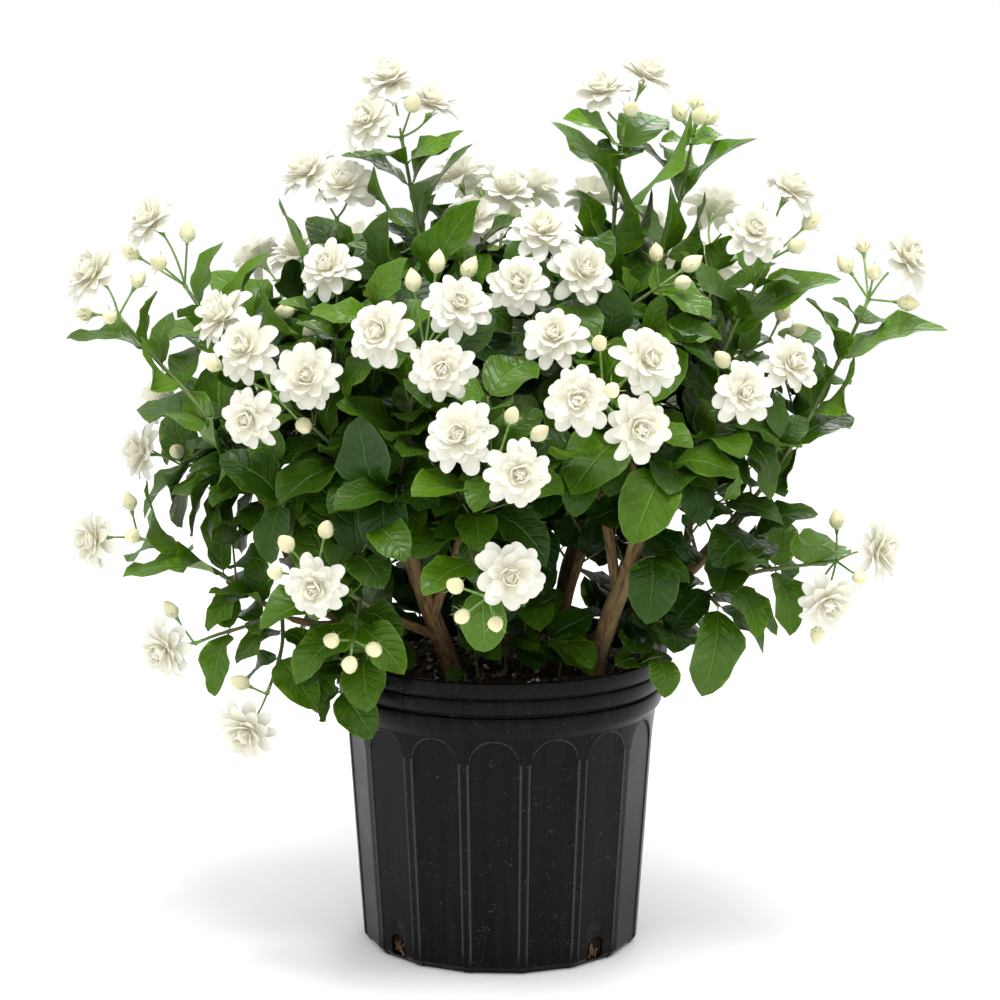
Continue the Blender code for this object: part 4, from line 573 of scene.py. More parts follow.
# a leaf to each side of a stem: each one's base and, where it finds room, its tip, rise, width and wave
def leafPair(path, place, turn, scale, sizes, clear, random):
    base, axis = along(path, min(place / pathLength(path), 1.0))
    side, other = frameAbout(axis)
    for angle in (turn, turn + math.pi):
        spread = turned(side, other, angle) + axis * random.uniform(*sizes["lean"])
        aim = unit(spread - np.array((0, 0, random.uniform(*sizes["droop"]))))
        length = scale * random.uniform(*sizes["length"])
        width = length * (leafSizes["width"] + random.uniform(*sizes["widen"]))
        wave = random.uniform(*leafSizes["wave"])
        yield base, placeLeaf(base, axis, aim, length, width, wave, clear, sizes["turns"], sizes["shares"])


# the wood, flowers, buds and stems, each with a little room round it
def standingParts(stems, wood):
    yield potBody()
    for name, limbs in wood.items():
        for (start, stop, _), path in zip(woodLimbs[name], limbs):
            yield skin(*tubeRings(path, start + 0.12, stop + 0.12, 6))
    for name in bloomPlan:
        hub, pieces = bloomPieces(name)
        for kind, place, axis, radius, spin in pieces:
            yield skin(*(flowerRings(hub, place, axis, radius * 1.05, spin) if kind == "flower"
                         else budRings(hub, place)))
    for name, paths in stems.items():
        for (_, tip), path in zip(shootPlan[name][2], paths):
            yield skin(*tubeRings(path, 0.26, 0.22))
            if isinstance(tip, str):
                yield skin(*tubeRings(np.array([path[-1], bloomPlan[tip][0]]), stemSizes["hub"], stemSizes["hub"]))
            for bud in looseBuds(tip):
                yield skin(*budRings(path[-1], bud))


# where every leaf stands: the seen pairs first, then pairs by rule along each stem, each a quarter turn on
def leafPlan(stems, wood):
    clear = Clearance()
    for body in standingParts(stems, wood):
        clear.add(body)
    plan = {name: [] for name in stems}
    random = np.random.default_rng(41)
    taken = {}
    for name, number, share, *tips in seenLeaves:
        path = stems[name][number]
        base, axis = along(path, share)
        taken.setdefault((name, number), []).append(share * pathLength(path))
        for wave, tip in zip((0.1, -0.1), tips):
            chord = np.array(tip) - base
            length = np.linalg.norm(chord)
            leaf = placeLeaf(base, axis, chord / length, length, length * leafSizes["seenWidth"], wave, clear,
                             leafSizes["turns"], leafSizes["shares"])
            plan[name] += [(base, leaf)] if leaf else []
    spacing = leafSizes["spacing"]
    for name, paths in stems.items():
        for number, path in enumerate(paths):
            first = leafSizes["first"][min(number, 1)]
            count = max(1, int((pathLength(path) - first - 0.6) / spacing) + 1)
            turn = random.uniform(0, math.pi)
            for place in first + spacing * np.arange(count):
                turn += math.pi / 2 + random.uniform(*leafSizes["turn"])
                if all(abs(place - other) >= 0.62 * spacing for other in taken.get((name, number), [])):
                    pair = leafPair(path, place, turn, 1.0, leafSizes, clear, random)
                    plan[name] += [(base, leaf) for base, leaf in pair if leaf]
    return plan, clear, taken


# faces of closed bodies that share one grid: rings of points between two end points, wound outward
def gridFaces(count, rows, columns):
    size = rows * columns + 2
    here = np.arange(columns)
    following = (here + 1) % columns
    low = 1 + np.arange(rows - 1)[:, None] * columns
    quads = np.stack([low + here, low + following, low + columns + following, low + columns + here], axis=-1)
    last = 1 + (rows - 1) * columns
    caps = np.concatenate([np.stack([0 * here, 1 + following, 1 + here], axis=-1),
                           np.stack([0 * here + size - 1, last + here, last + following], axis=-1)])
    shift = (np.arange(count) * size)[:, None, None]
    return (quads.reshape(1, -1, 4) + shift).reshape(-1, 4), (caps[None] + shift).reshape(-1, 3)


# many closed bodies: rings (n, rows, columns, 3), first and last points (n, 3), traits given per ring point
def bodies(rings, first, last, look=0, **traits):
    count, rows, columns = rings.shape[:3]
    points = np.concatenate([first[:, None], rings.reshape(count, -1, 3), last[:, None]], axis=1)
    quads, tris = gridFaces(count, rows, columns)
    part = dict(points=points.reshape(-1, 3), quads=quads, tris=tris, look=look, traits={})
    for name, values in traits.items():
        values = np.broadcast_to(values, (count, rows, columns, np.shape(values)[-1]))
        flat = values.reshape(count, rows * columns, -1)
        ends = values[:, 0].mean(axis=1)[:, None], values[:, -1].mean(axis=1)[:, None]
        part["traits"][name] = np.concatenate([ends[0], flat, ends[1]], axis=1).reshape(-1, values.shape[-1])
    return part


# one object out of such bodies, in metres, with its materials, attributes and shading
def makePiece(name, parts, materials, sharp):
    offsets = np.cumsum([0] + [len(part["points"]) for part in parts])
    points = np.concatenate([part["points"] for part in parts]) * cm
    kinds = ("quads", "tris")
    quads, tris = (np.concatenate([part[kind] + offset for part, offset in zip(parts, offsets)]) for kind in kinds)
    looks = np.concatenate([np.full(len(part[kind]), part["look"]) for kind in kinds for part in parts])
    mesh = bpy.data.meshes.new(name)
    mesh.vertices.add(len(points))
    mesh.vertices.foreach_set("co", points.ravel())
    corners = np.concatenate([quads.ravel(), tris.ravel()])
    starts = np.concatenate([np.arange(len(quads)) * 4, len(quads) * 4 + np.arange(len(tris)) * 3])
    mesh.loops.add(len(corners))
    mesh.loops.foreach_set("vertex_index", corners.astype(np.int32))
    mesh.polygons.add(len(starts))
    mesh.polygons.foreach_set("loop_start", starts.astype(np.int32))
    mesh.polygons.foreach_set("material_index", looks.astype(np.int32))
    mesh.update(calc_edges=True)
    for trait in sorted({trait for part in parts for trait in part["traits"]}):
        wide = max(part["traits"][trait].shape[-1] for part in parts if trait in part["traits"])
        values = np.concatenate([part["traits"].get(trait, np.zeros((len(part["points"]), wide)))
                                 for part in parts])
        layer = mesh.attributes.new(trait, "FLOAT_VECTOR" if wide == 3 else "FLOAT", "POINT")
        layer.data.foreach_set("vector" if wide == 3 else "value", values.ravel().astype(np.float32))
    for material in materials:
        mesh.materials.append(material)
    mesh.shade_smooth()
    mesh.set_sharp_from_angle(angle=math.radians(sharp))
    thing = bpy.data.objects.new(name, mesh)
    bpy.context.scene.collection.objects.link(thing)
    print(name, len(quads) * 2 + len(tris), "triangles")
    return thing


# directions square to a path at each point, carried along it without twist
def pathFrames(path):
    ahead = units(np.gradient(path, axis=0))
    sides = [frameAbout(ahead[0])[0]]
    for direction in ahead[1:]:
        sides.append(unit(sides[-1] - direction * np.dot(sides[-1], direction)))
    return ahead, np.array(sides), np.cross(ahead, np.array(sides))


# a tube along a path: radii per point and, if given, a factor per point and side
def tubeBody(path, radii, sides, look=0, bumps=1.0, **traits):
    ahead, side, other = pathFrames(path)
    reach = (np.asarray(radii)[:, None] * np.ones(sides)) * bumps
    rings = path[:, None] + reach[..., None] * ringsAbout(turnsOf(sides), side, other)
    first = path[:1] - ahead[:1] * radii[0] * 0.35
    last = path[-1:] + ahead[-1:] * radii[-1] * 0.35
    return bodies(rings[None], first, last, look, **{name: values[None] for name, values in traits.items()})


class Nodes:
    # short hands for a node tree: each call adds a node and gives back its output
    def __init__(self, tree):
        self.tree = tree

    def put(self, socket, value):
        if isinstance(value, bpy.types.NodeSocket):
            self.tree.links.new(value, socket)
        elif value is not None:
            socket.default_value = value

    # a node's inputs, by number or name
    def fill(self, node, inputs):
        for key, value in dict(inputs).items():
            self.put(node.inputs[key], value)
        return node.outputs

    def new(self, kind):
        return self.tree.nodes.new("ShaderNode" + kind)

    def attribute(self, name):
        node = self.new("Attribute")
        node.attribute_name = name
        return node.outputs["Vector"]

    def parts(self, vector):
        return self.fill(self.new("SeparateXYZ"), {0: vector})

    def math(self, operation, *values, kind="Math"):
        node = self.new(kind)
        node.operation = operation
        return self.fill(node, enumerate(values))[0]

    def noise(self, vector, scale, detail=3.0, rough=0.55):
        inputs = dict(Vector=vector, Scale=scale, Detail=detail, Roughness=rough)
        return self.fill(self.new("TexNoise"), inputs)["Fac"]

    def cells(self, vector, scale):
        return self.fill(self.new("TexVoronoi"), dict(Vector=vector, Scale=scale))["Distance"]

    def scaled(self, vector, factors):
        return self.math("MULTIPLY", vector, factors, kind="VectorMath")

    def place(self):
        return self.new("TexCoord").outputs["Object"]

    def remap(self, value, low, high, toLow=0.0, toHigh=1.0):
        return self.fill(self.new("MapRange"), enumerate((value, low, high, toLow, toHigh)))[0]

    def mix(self, factor, first, second):
        node = self.new("Mix")
        node.data_type = "RGBA"
        first, second = ((*colour, 1.0) if isinstance(colour, tuple) else colour for colour in (first, second))
        return self.fill(node, {0: factor, 6: first, 7: second})[2]

    # mixed by a share of a factor
    def blend(self, factor, share, first, second):
        return self.mix(self.math("MULTIPLY", factor, share), first, second)

    def bump(self, height, strength, distance):
        return self.fill(self.new("Bump"), dict(Strength=strength, Distance=distance, Height=height))[0]


def nodeMaterial(name):
    material = bpy.data.materials.new(name)
    material.use_nodes = True
    return material, Nodes(material.node_tree), material.node_tree.nodes["Principled BSDF"]


def setConstants(shader, constants):
    for socket, value in constants.items():
        shader.inputs[socket].default_value = value


# a finish: rule gives the colour, the roughness and the relief as (height, strength, distance)
def finish(name, rule, constants=()):
    material, n, shader = nodeMaterial(name)
    colour, rough, relief = rule(n)
    n.put(shader.inputs["Base Color"], colour)
    n.put(shader.inputs["Roughness"], rough)
    n.put(shader.inputs["Normal"], n.bump(*relief))
    setConstants(shader, dict(constants))
    return material


# colours as (dark, light), mixed by each leaf's tone; the cushion colour is a painted highlight between the side
# veins, and rim paints a highlight along the margin
leafLook = dict(
    base=((0.005, 0.022, 0.001), (0.078, 0.195, 0.003)), patches=((0.012, 0.05, 0.002), (0.17, 0.33, 0.010)),
    litCushions=((0.016, 0.060, 0.003), (0.155, 0.315, 0.012)), pale=((0.05, 0.14, 0.02), (0.28, 0.45, 0.09)),
    under=((0.03, 0.07, 0.015), (0.17, 0.29, 0.05)), veins=0.16, midrib=0.6, rim=0.45, underShare=0.45,
    veinPairs=7.0, slant=1.7, gloss=(0.25, 0.5), quilt=0.3, waves=1.5, groove=1.4, bump=(0.75, 0.0013))
leafConstants = {"Subsurface Weight": 0.12, "Subsurface Radius": (0.4, 0.8, 0.1), "Subsurface Scale": 0.002,
                 "Specular IOR Level": 0.26}


# leaves: trait leaf is (share of length, place across, tone), the tone carrying each leaf's painted shade, and
# under is 1 on the lower face
def leafRule(n):
    along, across, tone = n.parts(n.attribute("leaf"))[:3]
    under = n.attribute("under")
    wide = n.math("ABSOLUTE", across)
    grain, patch = n.noise(n.place(), 130.0), n.noise(n.place(), 22.0)
    base, patches, litCushions, pale, below = (n.mix(tone, *leafLook[part])
                                            for part in ("base", "patches", "litCushions", "pale", "under"))
    colour = n.mix(n.remap(patch, 0.35, 0.7, 0.0, 0.45), base, patches)
    # side veins leave the midrib at a slant and bend to the tip, with cushions between them, lightened as a
    # painted highlight
    bend = n.math("MULTIPLY", n.math("POWER", wide, 1.3), leafLook["slant"])
    slant = n.math("SUBTRACT", n.math("MULTIPLY", along, leafLook["veinPairs"]), bend)
    slant = n.math("ADD", slant, n.math("MULTIPLY", grain, 0.12))
    wave = n.math("ABSOLUTE", n.math("SINE", n.math("MULTIPLY", slant, math.pi)))
    midrib = n.remap(wide, 0.015, 0.08, 1.0, 0.0)
    # painted highlight on the cushions between the side veins
    colour = n.mix(n.remap(wave, 0.45, 1.0, 0.0, 0.3), colour, litCushions)
    colour = n.blend(n.remap(wave, 0.0, 0.22, 1.0, 0.0), leafLook["veins"], colour, pale)
    colour = n.blend(midrib, leafLook["midrib"], colour, pale)
    # painted highlight: a pale line along the margin
    colour = n.blend(n.remap(wide, 0.90, 1.0, 0.0, 1.0), leafLook["rim"], colour, pale)
    colour = n.blend(under, leafLook["underShare"], colour, below)
    rough = n.math("ADD", n.remap(under, 0.0, 1.0, *leafLook["gloss"]), n.remap(patch, 0.3, 0.7, 0.0, 0.2))
    quilt = n.math("MULTIPLY", n.remap(wave, 0.0, 0.6, 0.0, 1.0), leafLook["quilt"])
    height = n.math("ADD", quilt, n.math("MULTIPLY", n.noise(n.place(), 70.0, 2.0), leafLook["waves"]))
    height = n.math("SUBTRACT", height, n.math("MULTIPLY", midrib, leafLook["groove"]))
    return colour, rough, (height, *leafLook["bump"])


# green stems: trait age is 0 where young and 1 where old
def stemRule(n):
    grain = n.noise(n.scaled(n.place(), (160.0, 160.0, 50.0)), 1.0)
    colour = n.mix(n.attribute("age"), (0.12, 0.20, 0.035), (0.11, 0.085, 0.045))
    colour = n.mix(n.remap(grain, 0.3, 0.75, 0.0, 0.4), colour, (0.22, 0.22, 0.10))
    return colour, n.remap(grain, 0.0, 1.0, 0.42, 0.6), (grain, 0.3, 0.0006)


# bark: trait grain is the place on the limb, stretched along it
def barkRule(n):
    grain = n.attribute("grain")
    fibres, patches = n.noise(grain, 5.5, 6.0, 0.7), n.noise(grain, 1.3, 3.0)
    colour = n.mix(n.remap(fibres, 0.34, 0.66), (0.026, 0.012, 0.005), (0.28, 0.165, 0.06))
    colour = n.mix(n.remap(patches, 0.45, 0.68, 0.0, 0.7), colour, (0.33, 0.225, 0.10))
    return colour, n.remap(fibres, 0.0, 1.0, 0.95, 0.75), (fibres, 0.8, 0.0022)


# grain is a random tone; the deep colour is painted shade in the heart of the flower
petalLook = dict(grain=(0.72, 0.68, 0.55), deepShade=(0.83, 0.79, 0.545))
# the emission is the light that comes through the thin petals
petalConstants = {"Subsurface Weight": 0.4, "Subsurface Radius": (1.0, 0.93, 0.78), "Subsurface Scale": 0.003,
                  "Emission Color": (1.0, 0.95, 0.80, 1.0), "Emission Strength": 0.06}


# petals: trait petal is (share of length, place across, depth in the flower); the foot colour at the foot, tip at
# the end. The deep colour mixed in by depth is painted shade, and so is the petals' warm foot colour; the buds'
# foot colour is their own green cream
def petalMaterial(name, footTintAndShade, tip):
    def rule(n):
        along, across, depth = n.parts(n.attribute("petal"))[:3]
        grain = n.noise(n.place(), 90.0)
        # painted shade: the petals' warm foot colour reaches up to 0.6 of their length
        colour = n.mix(n.remap(along, 0.0, 0.6), footTintAndShade, tip)
        colour = n.blend(n.remap(grain, 0.4, 0.7), 0.10, colour, petalLook["grain"])
        # painted shade, more in the deeper whorls and near the foot
        colour = n.blend(depth, n.remap(along, 0.3, 1.0, 0.9, 0.3), colour, petalLook["deepShade"])
        lines = n.math("ABSOLUTE", n.math("SINE", n.math("MULTIPLY", across, 11.0)))
        return colour, n.remap(grain, 0.3, 0.7, 0.45, 0.58), (lines, 0.25, 0.0003)
    return finish(name, rule, petalConstants)


# an even finish with a grain: two colours, the roughness from low to high grain, and the relief
def grainyMaterial(name, dark, light, noise, rough, relief):
    def rule(n):
        grain = n.noise(n.place(), *noise)
        return n.mix(n.remap(grain, 0.3, 0.7), dark, light), n.remap(grain, 0.0, 1.0, *rough), (grain, *relief)
    return finish(name, rule)


def chipMaterial(name, dark, light):
    return grainyMaterial(name, dark, light, (120.0, 5.0, 0.65), (0.95, 0.8), (0.6, 0.0015))


# edge is the colour of the painted highlight round the panels
plasticLook = dict(dark=(0.0012, 0.0012, 0.0014), light=(0.0065, 0.0065, 0.0068), edge=(0.06, 0.06, 0.061),
                   edgeHighlightShare=0.9, dust=(0.34, 0.33, 0.32), dustShare=0.75, gloss=(0.17, 0.29))


# black moulded plastic with upright streaks, specks and short strokes of dust: trait edge is 1 along the panels,
# where the lighter edge colour is a painted highlight
def plasticRule(n):
    place = n.place()
    streaks = n.noise(n.scaled(place, (140.0, 140.0, 4.0)), 1.0, 4.0)
    specks = n.remap(n.cells(place, 420.0), 0.06, 0.17, 1.0, 0.0)
    dust = n.math("MULTIPLY", specks, n.remap(n.noise(place, 75.0), 0.50, 0.66))
    strokes = n.remap(n.cells(n.scaled(place, (90.0, 90.0, 520.0)), 1.0), 0.03, 0.07, 1.0, 0.0)
    dust = n.math("MAXIMUM", dust, n.math("MULTIPLY", strokes, n.remap(n.noise(place, 40.0), 0.6, 0.72)))
    colour = n.mix(n.remap(streaks, 0.3, 0.75), plasticLook["dark"], plasticLook["light"])
    # painted highlight round the panels
    colour = n.blend(n.attribute("edge"), plasticLook["edgeHighlightShare"], colour, plasticLook["edge"])
    colour = n.blend(dust, plasticLook["dustShare"], colour, plasticLook["dust"])
    cloud = n.remap(n.noise(place, 18.0), 0.3, 0.7, *plasticLook["gloss"])
    rough = n.math("ADD", cloud, n.math("MULTIPLY", streaks, 0.10))
    return colour, rough, (n.math("ADD", streaks, n.math("MULTIPLY", dust, 0.5)), 0.12, 0.0004)


# potting mix, with painted shade low down: near black below 20 cm, where the drain holes show it inside the pot
def soilRule(n):
    grain, clods = n.noise(n.place(), 160.0, 6.0, 0.7), n.noise(n.place(), 40.0)
    colour = n.mix(n.remap(grain, 0.3, 0.7), (0.010, 0.007, 0.005), (0.060, 0.040, 0.027))
    colour = n.mix(n.remap(clods, 0.55, 0.75, 0.0, 0.6), colour, (0.10, 0.065, 0.042))
    # painted shade inside the pot: below 20 cm the mix goes 0.85 of the way to near black
    height = n.parts(n.place())[2]
    colour = n.mix(n.remap(height, 0.20, 0.22, 0.85, 0.0), colour, (0.009, 0.005, 0.003))
    return colour, n.remap(grain, 0.0, 1.0, 0.98, 0.85), (grain, 1.0, 0.003)


# the pot in centimetres and degrees: profiles are (radius, height)
pot = dict(
    panels=16, phase=-2.5, half=9.1, outer=9.42, corner=10.35, recess=0.10, head=19.35, arc=13,
    foot=[(10.90, 0.0), (11.13, 0.28), (11.36, 0.55)], wallFoot=(11.36, 0.55), wallTop=(12.64, 19.20),
    wallRows=12, rim=((0.05, 1.0), (0.16, 0.0)), brim=19.5,
    drains=(2, 6, 10, 14), drainHalf=0.88, drainBottom=0.30, drainTop=2.25, drainReach=(9.6, 12.6),
    lip=[(12.80, 19.72), (13.06, 20.05), (13.16, 20.30), (13.24, 21.20), (13.20, 21.30), (12.98, 21.46),
         (12.98, 21.54), (13.26, 21.70), (13.31, 21.80), (13.38, 22.68), (13.34, 22.78), (13.20, 22.88),
         (13.20, 22.96), (13.42, 23.08), (13.47, 23.20), (13.57, 24.10), (13.54, 24.22), (13.46, 24.29),
         (13.30, 24.31), (13.15, 24.29), (13.04, 24.20), (12.98, 24.00), (12.66, 23.70)],
    inside=[(12.60, 23.40), (12.20, 18.50), (11.78, 12.50), (11.35, 6.50), (10.98, 1.30), (10.88, 0.75),
            (10.70, 0.52)],
)
panelStep = 360 / pot["panels"]


# a panel's directions: across it and outward
def panelFrame(number):
    angle = math.radians(pot["phase"] + number * panelStep)
    return np.array((math.cos(angle), math.sin(angle), 0.0)), np.array((math.sin(angle), -math.cos(angle), 0.0))


# the pot's wall as rows of (height, radius, edge) over a panel's columns, edge weighting a painted highlight round
# each panel: the columns gather at the panels' edges and the rows follow their round heads, height = spring + half
# width sqrt(1 - share^2)
def potRows(columns):
    rows = []

    def addRow(z, r, edge=0.0):
        rows.append(np.stack(np.broadcast_arrays(z, r, edge, columns)[:3]))

    inPanel = np.abs(columns) <= pot["half"] + 1e-6
    headHalf = pot["wallTop"][0] * math.sin(math.radians(pot["half"]))
    spring = pot["head"] - headHalf
    share = np.clip(columns / pot["half"], -1, 1)
    head = np.where(inPanel, spring + headHalf * np.sqrt(np.clip(1 - share ** 2, 0, 1)), spring)
    footRadius, footHeight = pot["wallFoot"]
    slope = (pot["wallTop"][0] - footRadius) / (pot["wallTop"][1] - footHeight)
    flat = math.cos(math.radians(pot["half"])) / np.cos(np.radians(columns))
    for r, z in pot["foot"]:
        addRow(z, np.where(inPanel, (r - pot["recess"]) * flat, r))
    for step in np.linspace(0.08, 1.0, pot["wallRows"]):
        z = footHeight + (head - 0.06 - footHeight) * step
        r = footRadius + slope * (z - footHeight)
        # the ribs beside each panel take the edge's painted highlight
        addRow(z, np.where(inPanel, (r - pot["recess"]) * flat, r),
               np.where(np.abs(np.abs(columns) - pot["outer"]) < 1e-6, 1.0, 0.0))
    # the row just above each arch's head carries its painted highlight
    for rim, archHighlight in pot["rim"]:
        z = head + rim
        addRow(z, footRadius + slope * (z - footHeight),
               np.where(np.abs(columns) <= pot["outer"] + 1e-6, archHighlight, 0.0))
    for step in np.linspace(0.25, 1.0, 4):
        z = (head + 0.16) * (1 - step) + pot["brim"] * step
        addRow(z, np.minimum(footRadius + slope * (z - footHeight), 12.66))
    for r, z in pot["lip"] + pot["inside"]:
        addRow(z, r)
    return np.array(rows)


def buildPot():
    curve = pot["half"] * np.sin(np.radians(np.linspace(-90, 90, pot["arc"])))
    outer, corner = pot["outer"], pot["corner"]
    columns = np.concatenate([[-panelStep / 2, -corner, -outer], curve, [outer, corner]])
    heights, radii, edgeHighlights = np.tile(potRows(columns), (1, 1, pot["panels"])).transpose(1, 0, 2)
    angles = np.concatenate([columns + panelStep * number for number in range(pot["panels"])])
    angles = np.radians(angles + pot["phase"] - 90.0)
    rings = np.stack([radii * np.cos(angles), radii * np.sin(angles), heights], axis=-1)
    body = bodies(rings[None], np.array([[0, 0, 0.0]]), np.array([[0, 0, 0.5]]), edge=edgeHighlights[None, ..., None])
    look = finish("black_plastic_moulded", plasticRule, {"Specular IOR Level": 0.09})
    thing = makePiece("pot_body", [body], [look], 28.0)
    # arched drain holes, cut through the wall
    cutters = []
    half, bottom, near, far = pot["drainHalf"], pot["drainBottom"], *pot["drainReach"]
    spring = pot["drainTop"] - half
    outline = np.array([(-half, bottom), (half, bottom)]
                       + [(half * math.cos(t), spring + half * math.sin(t)) for t in np.linspace(0, math.pi, 13)])
    for number in pot["drains"]:
        across, outward = panelFrame(number)
        ring = outline[:, :1] * across + outline[:, 1:] * np.array((0, 0, 1.0))
        middle = ring.mean(axis=0)
        rings = np.stack([ring + outward * near, ring + outward * far])
        body = bodies(rings[None], (middle + outward * near)[None], (middle + outward * far)[None])
        cutters.append(makePiece("drain_cutter", [body], [], 30.0))
        cut = thing.modifiers.new("drain", "BOOLEAN")
        cut.object = cutters[-1]
        cut.solver = "EXACT"
    bpy.context.view_layer.update()
    cutMesh = bpy.data.meshes.new_from_object(thing.evaluated_get(bpy.context.evaluated_depsgraph_get()))
    thing.modifiers.clear()
    thing.data = cutMesh
    for cutter in cutters:
        bpy.data.objects.remove(cutter)
    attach(thing, "root")
    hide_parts("pot")


# the mix: grains are (look, count, sizes, flatness) of bark chips, pale chips and perlite
soil = dict(
    columns=120, rows=46, crown=22.35, rise=0.75, reach=12.4, spread=12.1,
    wall=[(10.6, 0.53), (10.86, 0.62), (11.6, 10.0), (12.3, 18.5), (12.46, 22.2)],
    grains=((1, 620, (0.16, 0.62), 0.42), (2, 230, (0.14, 0.42), 0.45), (3, 210, (0.10, 0.25), 0.85)), roots=7)


# the mix's height at a place: a low crown, long waves and crumbs
def soilHeight(x, y):
    reach = np.hypot(x, y)
    crown = soil["crown"] + soil["rise"] * (1 - np.clip(reach / soil["reach"], 0, 1) ** 2)
    waves = 0.10 * (np.sin(1.1 * x + 0.4 * y) + np.cos(1.3 * y - 0.5 * x))
    crumbs = (0.06 * np.sin(4.3 * x + 2.1 * y) * np.cos(3.7 * y - 1.3 * x)
              + 0.05 * np.sin(8.9 * x) * np.sin(9.7 * y + x))
    return crown + (waves + crumbs) * np.clip((12.3 - reach) / 1.2, 0.15, 1)


# grains strewn over the mix: two rough rings of six points between two blunt ends, turned any way
def grainBodies(look, count, size, flatness, random):
    reach, turn = soil["spread"] * np.sqrt(random.uniform(0.0, 1.0, count)), random.uniform(0, 2 * math.pi, count)
    x, y = reach * np.cos(turn), reach * np.sin(turn)
    half = random.uniform(*size, count)
    centre = np.column_stack([x, y, soilHeight(x, y) + half * flatness * 0.4])
    spin = units(random.normal(size=(count, 3)))
    if flatness < 0.6:
        spin = units(spin + np.array((0, 0, 2.2)) * np.sign(spin[:, 2:]))
    side = units(np.cross(spin, units(random.normal(size=(count, 3)))))
    other = np.cross(spin, side)
    rough = random.uniform(0.72, 1.2, (count, 2, 6, 1))
    cosines, sines = np.cos(turnsOf(6))[:, None], np.sin(turnsOf(6))[:, None]
    ring = cosines * side[:, None] * random.uniform(0.8, 1.5, (count, 1, 1)) + sines * other[:, None] * 0.7
    levels = np.array((-0.5, 0.5))[None, :, None, None]
    rings = centre[:, None, None] + half[:, None, None, None] * (
        ring[:, None] * rough + spin[:, None, None] * flatness * levels)
    reach = spin * (half * flatness * 0.7)[:, None]
    return bodies(rings, centre - reach, centre + reach, look)


def buildSoil(random):
    turns = turnsOf(soil["columns"])
    reaches = np.concatenate([[reach for reach, _ in soil["wall"]], np.linspace(12.3, 0.35, soil["rows"])])
    x, y = reaches[:, None] * np.cos(turns), reaches[:, None] * np.sin(turns)
    z = soilHeight(x, y)
    z[:len(soil["wall"])] = np.array([height for _, height in soil["wall"]])[:, None]
    top = float(soilHeight(0.0, 0.0))
    parts = [bodies(np.stack([x, y, z], axis=-1)[None], np.array([[0, 0, 0.53]]), np.array([[0, 0, top]]))]
    parts += [grainBodies(*grains, random) for grains in soil["grains"]]
    # fine roots show in the drain holes
    share = np.linspace(0, 1, 7)
    for number in pot["drains"]:
        across, outward = panelFrame(number)
        for _ in range(soil["roots"]):
            spread, low = random.uniform(-0.62, 0.62, 2), random.uniform(0.45, 0.9)
            sideways = (spread[0] * (1 - share) + spread[1] * share
                        + 0.10 * np.sin(5 * share + random.uniform(0, 6)))
            height = low + share * random.uniform(0.5, 1.15)
            line = (outward * random.uniform(10.98, 11.14) + across * sideways[:, None]
                    + np.array((0, 0, 1)) * height[:, None])
            parts.append(tubeBody(line, np.linspace(0.06, 0.035, 7), 5, 4))
    looks = [finish("bark_mix", soilRule, {"Specular IOR Level": 0.15}),
             chipMaterial("bark_chip", (0.020, 0.012, 0.008), (0.11, 0.065, 0.04)),
             chipMaterial("pale_bark_chip", (0.09, 0.05, 0.03), (0.26, 0.16, 0.10)),
             chipMaterial("perlite", (0.55, 0.50, 0.46), (0.82, 0.79, 0.75)),
             chipMaterial("root", (0.05, 0.022, 0.010), (0.20, 0.11, 0.05))]
    thing = makePiece("potting_mix", parts, looks, 40.0)
    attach(thing, "root")
    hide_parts("soil")


# bark in centimetres: ridges are (number round the limb, depth, wander along it)
bark = dict(sides=18, step=0.3, ridges=((3, 0.05, 0.25), (5, 0.045, 0.5), (8, 0.04, 0.9), (13, 0.022, 1.7)),
            swelling=0.04, tips=(0.98, 0.95, 0.9, 0.8), stretch=0.16)


# bark's relief round and along a limb: ridges that wander and a slow swelling
def barkRelief(turns, places, random):
    relief = np.zeros((len(places), len(turns)))
    for waves, depth, pace in bark["ridges"]:
        shift = (random.uniform(0, 2 * math.pi) + pace * places
                 + 0.8 * np.sin(places * pace * 1.3 + random.uniform(0, 6)))
        relief += depth * np.sin(waves * turns[None, :] + shift[:, None])
    return 1.0 + relief + bark["swelling"] * np.sin(places * 0.9 + random.uniform(0, 6))[:, None]


# a path read anew about every step, with the length up to each point
def finePath(path, step):
    places = np.concatenate([[0], np.cumsum(spansOf(path))])
    wanted = np.linspace(0, places[-1], max(3, int(places[-1] / step) + 1))
    return np.stack([np.interp(wanted, places, path[:, axis]) for axis in range(3)], axis=-1), wanted


# a limb's line is rounded by averaging along it, its ends kept
def rounded(path, step, times=10):
    path, places = finePath(path, step)
    for _ in range(times):
        path[1:-1] = (path[:-2] + 2 * path[1:-1] + path[2:]) / 4
    return path, places


def buildWood(wood, random):
    parts = []
    turns = turnsOf(bark["sides"])
    for name, limbs in wood.items():
        for (start, stop, _), line in zip(woodLimbs[name], limbs):
            path, places = rounded(line, bark["step"])
            radii = np.linspace(start, stop, len(path)) * 1.02
            radii[-4:] *= bark["tips"]
            relief = barkRelief(turns, places, random)
            lengthways = bark["stretch"] * places[:, None] + 0 * turns + random.uniform(0, 50)
            grain = np.stack([np.cos(turns) * radii[:, None], np.sin(turns) * radii[:, None], lengthways], axis=-1)
            parts.append(tubeBody(path, radii, bark["sides"], 0, relief, grain=grain))
    thing = makePiece("woody_stems", parts, [finish("jasmine_bark", barkRule)], 80.0)
    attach(thing, "root")
    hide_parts(*wood)


